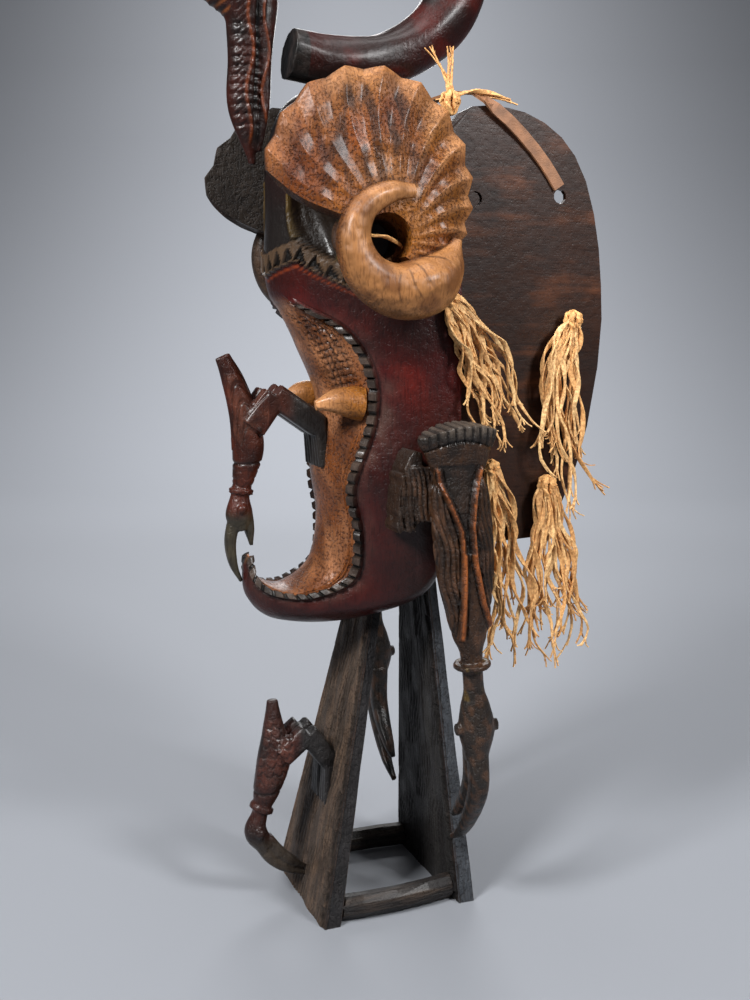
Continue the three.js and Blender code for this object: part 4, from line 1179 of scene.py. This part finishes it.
def make_side_bird(side):
    name, flip = on_side(side)
    parts = hornbill(
        back=[
            [2, 396], [0, 370], [0, 335], [0, 300], [0, 266], [0, 248],
            [0, 236], [0, 205], [0, 190], [0, 170], [0, 146],
        ],
        wide=[17, 26, 28, 26, 20, 15, 10, 9, 13, 16, 10],
        deep=[9, 11, 12, 12, 11, 10, 9, 8, 11, 13, 10],
        mandibles=[
            [[-1, 158], [-4, 124], [9, 97], [29, 72], [47, 60]],
            [[6, 158], [7, 126], [19, 105], [35, 88], [44, 81]],
        ],
        thick=9,
        place=beside_head,
        eye_at=[0, 172],
        eye_out=19,
        eye_radius=5,
        neck=[[0, 227], [0, 223]],
        rings=110,
    )
    tail_path = [beside_head(0, 0, 366), beside_head(0, -2, 398), beside_head(0, -4, 428)]
    fluted = lambda t, turn: 1.5 * np.abs(np.sin(5.5 * turn)) * ease(t, 0.6, 0.9)
    parts.append(limb(tail_path, [14, 28, 35], [8, 11, 14], (0, 1, 0), 40, 120, relief=fluted))
    parts.append(plate([[-12, 338], [6, 338], [12, 404], [4, 410], [-8, 384]], 78, 106))
    parts.append(limb([[100, 17, 369], [108, 17, 369]], 19, 23, side=(0, 1, 0), rings=6, around=24, box=0.85))
    bird = fused(name + "_bird", [flip(part) for part in parts], 1.3, 1)

    def carving(at):
        x, y, z = at.T
        edge, grain, fold, between_wings = side_bird_marks(at, side)
        slit = bumps(y + 5, 9.0, 3.0) * (y < 9) * (z < 366) * (side * x > 98)
        return 3.0 * edge - 1.5 * grain - 1.6 * fold - 2.2 * slit - 1.2 * between_wings

    raise_skin(bird, carving)
    at = corners_of(bird)
    off = at[:, 1] - bird_middle(at[:, 2])
    at[:, 2] -= 8.0 * (off / 35) ** 2 * ease(at[:, 2], 396, 424) * (np.abs(off) < 40)
    move_corners(bird, at)
    paint(bird, side_bird_tone(at, side), 0.4)
    return dressed(bird, "handled_brown_wood", [name + "_hornbill"])


# The boards and rungs


def hewn_board(half, y, y_top, top, seed):
    """A tapering plank with adze facets, a scored line and notches along its edges."""
    z = np.linspace(0, top, 230)[:, None]
    share = z / top
    wide = half + (25 - half) * share
    thick = 18 + (10 - 18) * share
    front = y + (y_top - y) * share
    across, sides = np.linspace(-1, 1, 73)[None, :], np.linspace(0.12, 0.88, 5)[None, :]
    face, flank = 0 * across + 0 * z, 0 * sides + 0 * z
    edge_gap = (1 - np.abs(across)) * wide
    chip = ((z + 9 * np.sin(z / 31 + seed)) / 24.0) % 1
    near_half = ease(across, -0.2, 0.2)
    notch = (1 - ease(edge_gap, 1.5 + 5 * chip, 3.0 + 6 * chip)) * near_half
    scored = bumps(edge_gap - 3.2 - 5.5 * chip, ONE_LINE, 2.4) * near_half
    adze = 0.8 * np.sin(across * 9 + seed + z / 19) * np.sin(z / 23 + 2 * across + seed)
    fibre = across * wide + 2.5 * np.sin(z / 13 + seed) + 1.2 * np.sin(z / 5.1 + 3 * across)
    opened = ease(np.sin(z / 29 + across * 5 + seed) + np.sin(z / 11 - across * 7), -0.4, 0.3)
    crack = bumps(across * wide - 10 - 6 * np.sin(z / 60), ONE_LINE, 1.6) * ease(z, top * 0.25, top * 0.3)
    split = 0.9 * (bumps(fibre, 5.3, 2.4) * opened) + 1.2 * crack
    sink = 2.2 * notch + 1.3 * scored + adze * ease(edge_gap, 0, 8) + split
    round_over = 1.2 * (1 - ease(edge_gap, 0, 2.5))
    bite = 0.9 * chip * (1 - ease(np.abs(sides - 0.1), 0.1, 0.5))
    rings = [
        np.dstack([across * wide, front + sink + round_over, z + 0 * across]),
        np.dstack([wide + 0 * sides - bite, front + thick * sides, z + 0 * sides]),
        np.dstack([-across * wide, front + thick - 0.4 * (adze + 0.5) - round_over, z + 0 * across]),
        np.dstack([-wide + 0 * sides + bite, front + thick * (1 - sides), z + 0 * sides]),
    ]
    rubbed = 1 - ease(edge_gap, 1, 6)
    dark = [np.clip(scored + 0.8 * notch + 0.8 * split, 0, 1), 0.3 * bite, face, 0.3 * bite]
    worn = [rubbed, 0.5 + flank, 0.4 * rubbed, 0.5 + flank]
    on_side_face = [face, 1 + flank, 0.6 + face, 1 + flank]
    return [np.concatenate(parts, axis=1) for parts in (rings, dark, worn, on_side_face)]


def make_board(name, half, y, y_top, top, seed, base, other, side_code):
    rings, dark, worn, flank = hewn_board(half, y, y_top, top, seed)
    piece = new_piece("hewn_" + name, [loft(rings)])
    at = rings.reshape(-1, 3)
    streak = flecks(at * np.array([1, 1, 0.12]), 9, seed)
    tone = layered(
        base,
        (other, ease(streak, 0.35, 0.8)),
        ("#6b4630", 0.55 * worn.reshape(-1) * flecks(at, 12, 1)),
        ("#120e0c", 0.85 * dark.reshape(-1)),
        (side_code, 0.95 * flank.reshape(-1)),
    )
    paint(piece, np.vstack([tone, tone.mean(0), tone.mean(0)]), 0.5)
    return dressed(piece, "hewn_board_wood", [name], 35)


def dress_node(name, finish, bevel_mm, segments=2):
    """Keeps a CAD piece whose shape is right: joins its facets and eases its edges."""
    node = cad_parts[name]
    weld = node.modifiers.new("Weld", "WELD")
    weld.merge_threshold = 0.00005
    edge = node.modifiers.new("Eased edges", "BEVEL")
    edge.width = bevel_mm / 1000
    edge.segments = segments
    edge.limit_method = "ANGLE"
    edge.angle_limit = 35 * RAD
    node.data.materials.clear()
    node.data.materials.append(material_of(finish))


# The raffia

# The line each bunch follows, how far it spreads, its count of strands and its knot's radius
TASSELS = {
    "left_tassel_ear": [[[98.5, 42, 530], [99.5, 60, 500], [99.5, 78, 460], [98.5, 98, 405]], 25, 26, 6],
    "left_tassel_rear": [
        [[90.5, 166, 512], [92.5, 152, 474], [93.5, 152, 410], [92.5, 168, 345]], 21, 24, 8.5,
    ],
    "left_tassel_middle": [[[90.5, 139, 366], [90.5, 143, 300], [90.5, 152, 215]], 29, 30, 8.5],
    "left_tassel_front": [[[90.5, 84, 385], [90.5, 97, 310], [90.5, 106, 222]], 18, 18, 6],
}
LEAF_SIDE = (0.9, 0.2, 0.1)  # the way that the flat of a strand starts out
TWIST_PITCH = 13.0  # millimetres along a strand for one radian of its twist


def strand_half():
    return sizes().strand_width * 1000 / 2


def strand(points, wide, thin, rng, segments=26):
    """One twisted length of raffia leaf that splits into fibres at its end."""
    points = np.asarray(points, float)
    run = np.linalg.norm(np.diff(points, axis=0), axis=1).sum()
    start = rng.uniform(0, 6)
    twist = lambda t: start + t * run / TWIST_PITCH
    widths, depths = [wide, wide * 0.9, wide * 0.8, wide * 0.5], [thin, thin, thin * 0.8]
    parts = [limb(points, widths, depths, side=LEAF_SIDE, rings=segments, around=6, twist=twist)]
    tail = points[-1] - points[-2]
    root = points[-2] * 0.3 + points[-1] * 0.7
    for _ in range(3):
        drift = rng.normal(0, 1, 3) * np.array([1.2, 4.5, 2.0])
        mid = points[-1] + tail * 0.25 + drift * 0.5
        end = points[-1] + tail * rng.uniform(0.35, 0.6) + drift
        parts.append(limb([root, mid, end], wide * 0.3, thin * 0.5, side=LEAF_SIDE, rings=5, around=4))
    return joined(parts)


def hanging_bunch(path, spread, count, rng):
    """Strands that leave one knot and fall apart along a path, each with its own tone."""
    shapes, tones = [], []
    wide = strand_half()
    for k in range(count):
        t = np.linspace(0, rng.uniform(0.62, 1.0), 13)
        line = route(path, t)
        across = unit(np.column_stack([0 * t, np.gradient(line[:, 2]), -np.gradient(line[:, 1])]))
        place = rng.uniform(-1, 1)
        depth = rng.uniform(-1, 1)
        open_out = 0.22 + 0.78 * t**0.7
        swing = np.sin(t * rng.uniform(8, 15) + rng.uniform(0, 6))
        wave = 7.0 * swing * t**0.5 + 1.6 * np.sin(t * 34 + k) * t
        line = line + across * (1.2 * spread * place * open_out + wave)[:, None]
        line[:, 0] += 6.5 * depth * open_out + 1.5 * np.sin(t * 11 + k)
        line[:, 2] += rng.normal(0, 1.2, len(t)) * t
        shape = strand(line, wide * rng.uniform(0.7, 1.15), wide * 0.42, rng)
        shapes.append(shape)
        straw = colours().raffia_straw
        tone = layered(straw, ("#a0662f", rng.uniform(0, 0.5)), ("#ffdca0", rng.uniform(0, 0.6)))
        tones.append(np.repeat(tone[None], len(shape[0]), axis=0))
    return shapes, tones


def knot(centre, radius, wide):
    """A few turns of raffia pulled tight round each other."""
    shapes = []
    turn = np.linspace(0, 1.06 * 2 * np.pi, 12)
    a, b = radius * np.cos(turn), radius * np.sin(turn)
    winding = lambda t: t * 22
    for tilt in (0.2, 1.2, -0.9, 2.3):
        x, y = 0.55 * a * math.sin(tilt) + 2 * np.sin(turn * 2), a * math.cos(tilt) * 0.8
        loop = np.asarray(centre) + np.column_stack([x, y, b])
        shapes.append(limb(loop, wide, wide * 0.6, side=(0.9, 0.3, 0.2), rings=40, around=8, twist=winding))
    return shapes


def make_tassel(name):
    path, spread, count, knot_radius = TASSELS[name]
    rng = np.random.default_rng(len(name) * 7 + int(spread))
    shapes, tones = hanging_bunch(path, spread, count, rng)
    ties = knot(path[0], knot_radius, strand_half())
    tone = np.array([colours().raffia_straw])
    tones += [np.repeat(tone, len(shape[0]), axis=0) for shape in ties]
    piece = new_piece("raffia_" + name, shapes + ties)
    paint(piece, np.vstack(tones), 1.0)
    return dressed(piece, "twisted_raffia", [name])


def make_raffia_ties():
    """The small ties: a knot on the side board's corner, a strand over its top and one in the ear hole."""
    rng = np.random.default_rng(5)
    wide = strand_half()
    over_top = [[84, 50, 706], [80, 64, 712], [78, 84, 711], [79, 104, 708]]
    back_again = [[78, 108, 708], [80, 92, 712.5], [82, 70, 713], [84, 50, 706]]
    in_ear = [[104, -47, 588], [112, -38, 583], [114, -26, 582], [109, -12, 577], [104, -6, 574]]
    shapes = knot([84, 47, 701], 9, wide)
    shapes.append(strand(over_top, wide, wide * 0.5, rng))
    shapes.append(strand(back_again, wide * 0.9, wide * 0.5, rng))
    for k in range(6):
        end = [84 + rng.uniform(-4, 5), 44 + rng.uniform(-12, 6), 728 + rng.uniform(-6, 10)]
        shapes.append(strand([[84, 47, 704], [86, 43 + k, 714], end], wide * 0.6, wide * 0.35, rng, 12))
    shapes.append(strand(in_ear, wide * 0.8, wide * 0.5, rng))
    piece = new_piece("raffia_ties", shapes)
    tone = np.array([colours().raffia_straw])
    paint(piece, np.repeat(tone, len(piece.data.vertices), axis=0), 1.0)
    return dressed(piece, "twisted_raffia", [])


# The studio

CAMERA_HEADING = 68 * RAD
BACKDROP_HALF, BACKDROP_DEPTH, BACKDROP_HIGH, BACKDROP_BEND = 6.0, 3.4, 3.6, 1.2

# Each light's place, what it faces, its size in metres, its power in watts and its spread in degrees
LIGHTS = {
    "key_light": ((0.75, -1.45, 1.65), (0.0, 0.05, 0.55), 0.55, 30, 125),
    "side_light": ((1.5, 0.9, 1.5), (0.0, 0.05, 0.5), 0.45, 18, 125),
    "top_light": ((0.1, 0.1, 2.1), (0.0, 0.05, 0.4), 1.0, 8, 125),
    "back_light": ((-1.4, 0.6, 1.2), (0.0, 0.05, 0.5), 0.8, 6, 125),
    "backdrop_light": ((-1.75, 0.7, 1.95), (-2.85, 1.15, 0.3), 0.8, 76, 170),
}


def make_backdrop():
    """A paper floor that curves up behind the mask, square to the camera."""
    turns = np.linspace(0.1, math.pi / 2, 14)
    flat_end = BACKDROP_DEPTH - BACKDROP_BEND
    profile = [(-3.0, 0.0), (flat_end, 0.0)]
    profile += [(flat_end + BACKDROP_BEND * math.sin(a), BACKDROP_BEND * (1 - math.cos(a))) for a in turns]
    profile += [(BACKDROP_DEPTH, BACKDROP_HIGH)]
    ahead = np.array([-math.sin(CAMERA_HEADING), math.cos(CAMERA_HEADING)])
    across = np.array([ahead[1], -ahead[0]])
    corners = []
    for run, up in profile:
        for side in (-BACKDROP_HALF, BACKDROP_HALF):
            corners.append([*(ahead * run + across * side), up])
    faces = [[2 * i, 2 * i + 1, 2 * i + 3, 2 * i + 2] for i in range(len(profile) - 1)]
    mesh = bpy.data.meshes.new("studio_floor")
    mesh.from_pydata(corners, [], faces)
    mesh.update()
    floor = bpy.data.objects.new("studio_floor", mesh)
    bpy.context.scene.collection.objects.link(floor)
    floor.data.materials.append(plain_studio("matt_backdrop_paper", linear("#83868c")))
    only(floor)
    bpy.ops.object.shade_smooth()


def make_stage():
    bpy.ops.object.select_all(action="DESELECT")
    make_backdrop()
    for name, settings in LIGHTS.items():
        add_light(name, *settings)
    world = bpy.data.worlds.new("soft_room")
    world.use_nodes = True
    background = world.node_tree.nodes["Background"]
    background.inputs["Color"].default_value = linear("#c9cad0")
    background.inputs["Strength"].default_value = 0.17
    bpy.context.scene.world = world
    bpy.context.scene.view_settings.view_transform = "Standard"


def add_light(name, place, target, size, power, spread):
    lamp = bpy.data.lights.new(name, "AREA")
    lamp.size = size
    lamp.energy = power
    lamp.spread = spread * RAD
    light = bpy.data.objects.new(name, lamp)
    light.location = place
    light.rotation_euler = (Vector(target) - Vector(place)).to_track_quat("-Z", "Y").to_euler()
    bpy.context.scene.collection.objects.link(light)


def make_camera():
    lens = bpy.data.cameras.new("studio_camera")
    lens.lens = 40.5
    lens.sensor_width = 36
    lens.shift_y = -0.187
    camera = bpy.data.objects.new("studio_camera", lens)
    camera.location = (0.9574, -0.3226, 0.520)
    camera.rotation_euler = (90 * RAD, 0, CAMERA_HEADING)
    bpy.context.scene.collection.objects.link(camera)
    bpy.context.scene.camera = camera


# Operators, panel and registration


class MASK_OT_stage(bpy.types.Operator):
    """Floor, backdrop, soft lights and camera"""

    bl_idname = "mask.stage"
    bl_label = "Studio"

    def execute(self, context):
        make_stage()
        make_camera()
        return {"FINISHED"}


class MASK_OT_head(bpy.types.Operator):
    """The helmet with its rim, face plate, zigzag band, eyes and tusks"""

    bl_idname = "mask.head"
    bl_label = "Head"

    def execute(self, context):
        make_head()
        return {"FINISHED"}


class MASK_OT_ears(bpy.types.Operator):
    """The two fluted ears with their ram's horn curls"""

    bl_idname = "mask.ears"
    bl_label = "Ears"

    def execute(self, context):
        make_ear(1)
        make_ear(-1)
        return {"FINISHED"}


class MASK_OT_crest(bpy.types.Operator):
    """The horn over the crown that ends in a hornbill's head"""

    bl_idname = "mask.crest"
    bl_label = "Crest"

    def execute(self, context):
        make_crest()
        return {"FINISHED"}


class MASK_OT_birds(bpy.types.Operator):
    """The four hornbills: at the mouth, on the front board and on each side"""

    bl_idname = "mask.birds"
    bl_label = "Hornbills"

    def execute(self, context):
        make_mouth_bird()
        make_board_bird()
        make_side_bird(1)
        make_side_bird(-1)
        return {"FINISHED"}


class MASK_OT_boards(bpy.types.Operator):
    """The two boards it stands on, their rungs and the thin side boards"""

    bl_idname = "mask.boards"
    bl_label = "Boards"

    def execute(self, context):
        c = colours()
        make_board("front_board", 63, -62, 4, 300, 1, c.board_brown, linear("#5a4a3d"), "#1b1c1f")
        make_board("back_board", 67, 62, 45, 330, 4, c.board_dark, linear("#2b2a29"), "#3a3f45")
        for side in ("left", "right"):
            dress_node(side + "_rung", "stained_rung_wood", 1.4, 3)
            dress_node(side + "_side_board", "smooth_sheet_wood", 1.2)
        return {"FINISHED"}


class MASK_OT_bindings(bpy.types.Operator):
    """The leather strap, the raffia tassels and ties"""

    bl_idname = "mask.bindings"
    bl_label = "Strap and raffia"

    def execute(self, context):
        dress_node("strap", "worn_tan_leather", 0.6)
        for name in TASSELS:
            make_tassel(name)
        make_raffia_ties()
        return {"FINISHED"}


OPERATORS = [
    MASK_OT_stage,
    MASK_OT_boards,
    MASK_OT_head,
    MASK_OT_ears,
    MASK_OT_crest,
    MASK_OT_birds,
    MASK_OT_bindings,
]


class MASK_PT_panel(bpy.types.Panel):
    """Lists the pieces of the mask and their sizes and colours"""

    bl_label = "Hornbill mask"
    bl_idname = "MASK_PT_panel"
    bl_space_type = "VIEW_3D"
    bl_region_type = "UI"
    bl_category = "Mask"

    def draw(self, context):
        for group in (context.scene.mask_sizes, context.scene.mask_colours):
            for key in group.bl_rna.properties.keys():
                if key not in ("rna_type", "name"):
                    self.layout.prop(group, key)
        for operator in OPERATORS:
            self.layout.operator(operator.bl_idname)


CLASSES = [MaskColours, MaskSizes, *OPERATORS, MASK_PT_panel]


def register():
    for cls in CLASSES:
        bpy.utils.register_class(cls)
    bpy.types.Scene.mask_colours = bpy.props.PointerProperty(type=MaskColours)
    bpy.types.Scene.mask_sizes = bpy.props.PointerProperty(type=MaskSizes)


def unregister():
    del bpy.types.Scene.mask_sizes
    del bpy.types.Scene.mask_colours
    for cls in reversed(CLASSES):
        bpy.utils.unregister_class(cls)


def main():
    register()
    bpy.ops.mask.stage()
    bpy.ops.mask.boards()
    bpy.ops.mask.head()
    bpy.ops.mask.ears()
    bpy.ops.mask.crest()
    bpy.ops.mask.birds()
    bpy.ops.mask.bindings()
    bpy.context.view_layer.update()


if __name__ == "__main__":
    main()
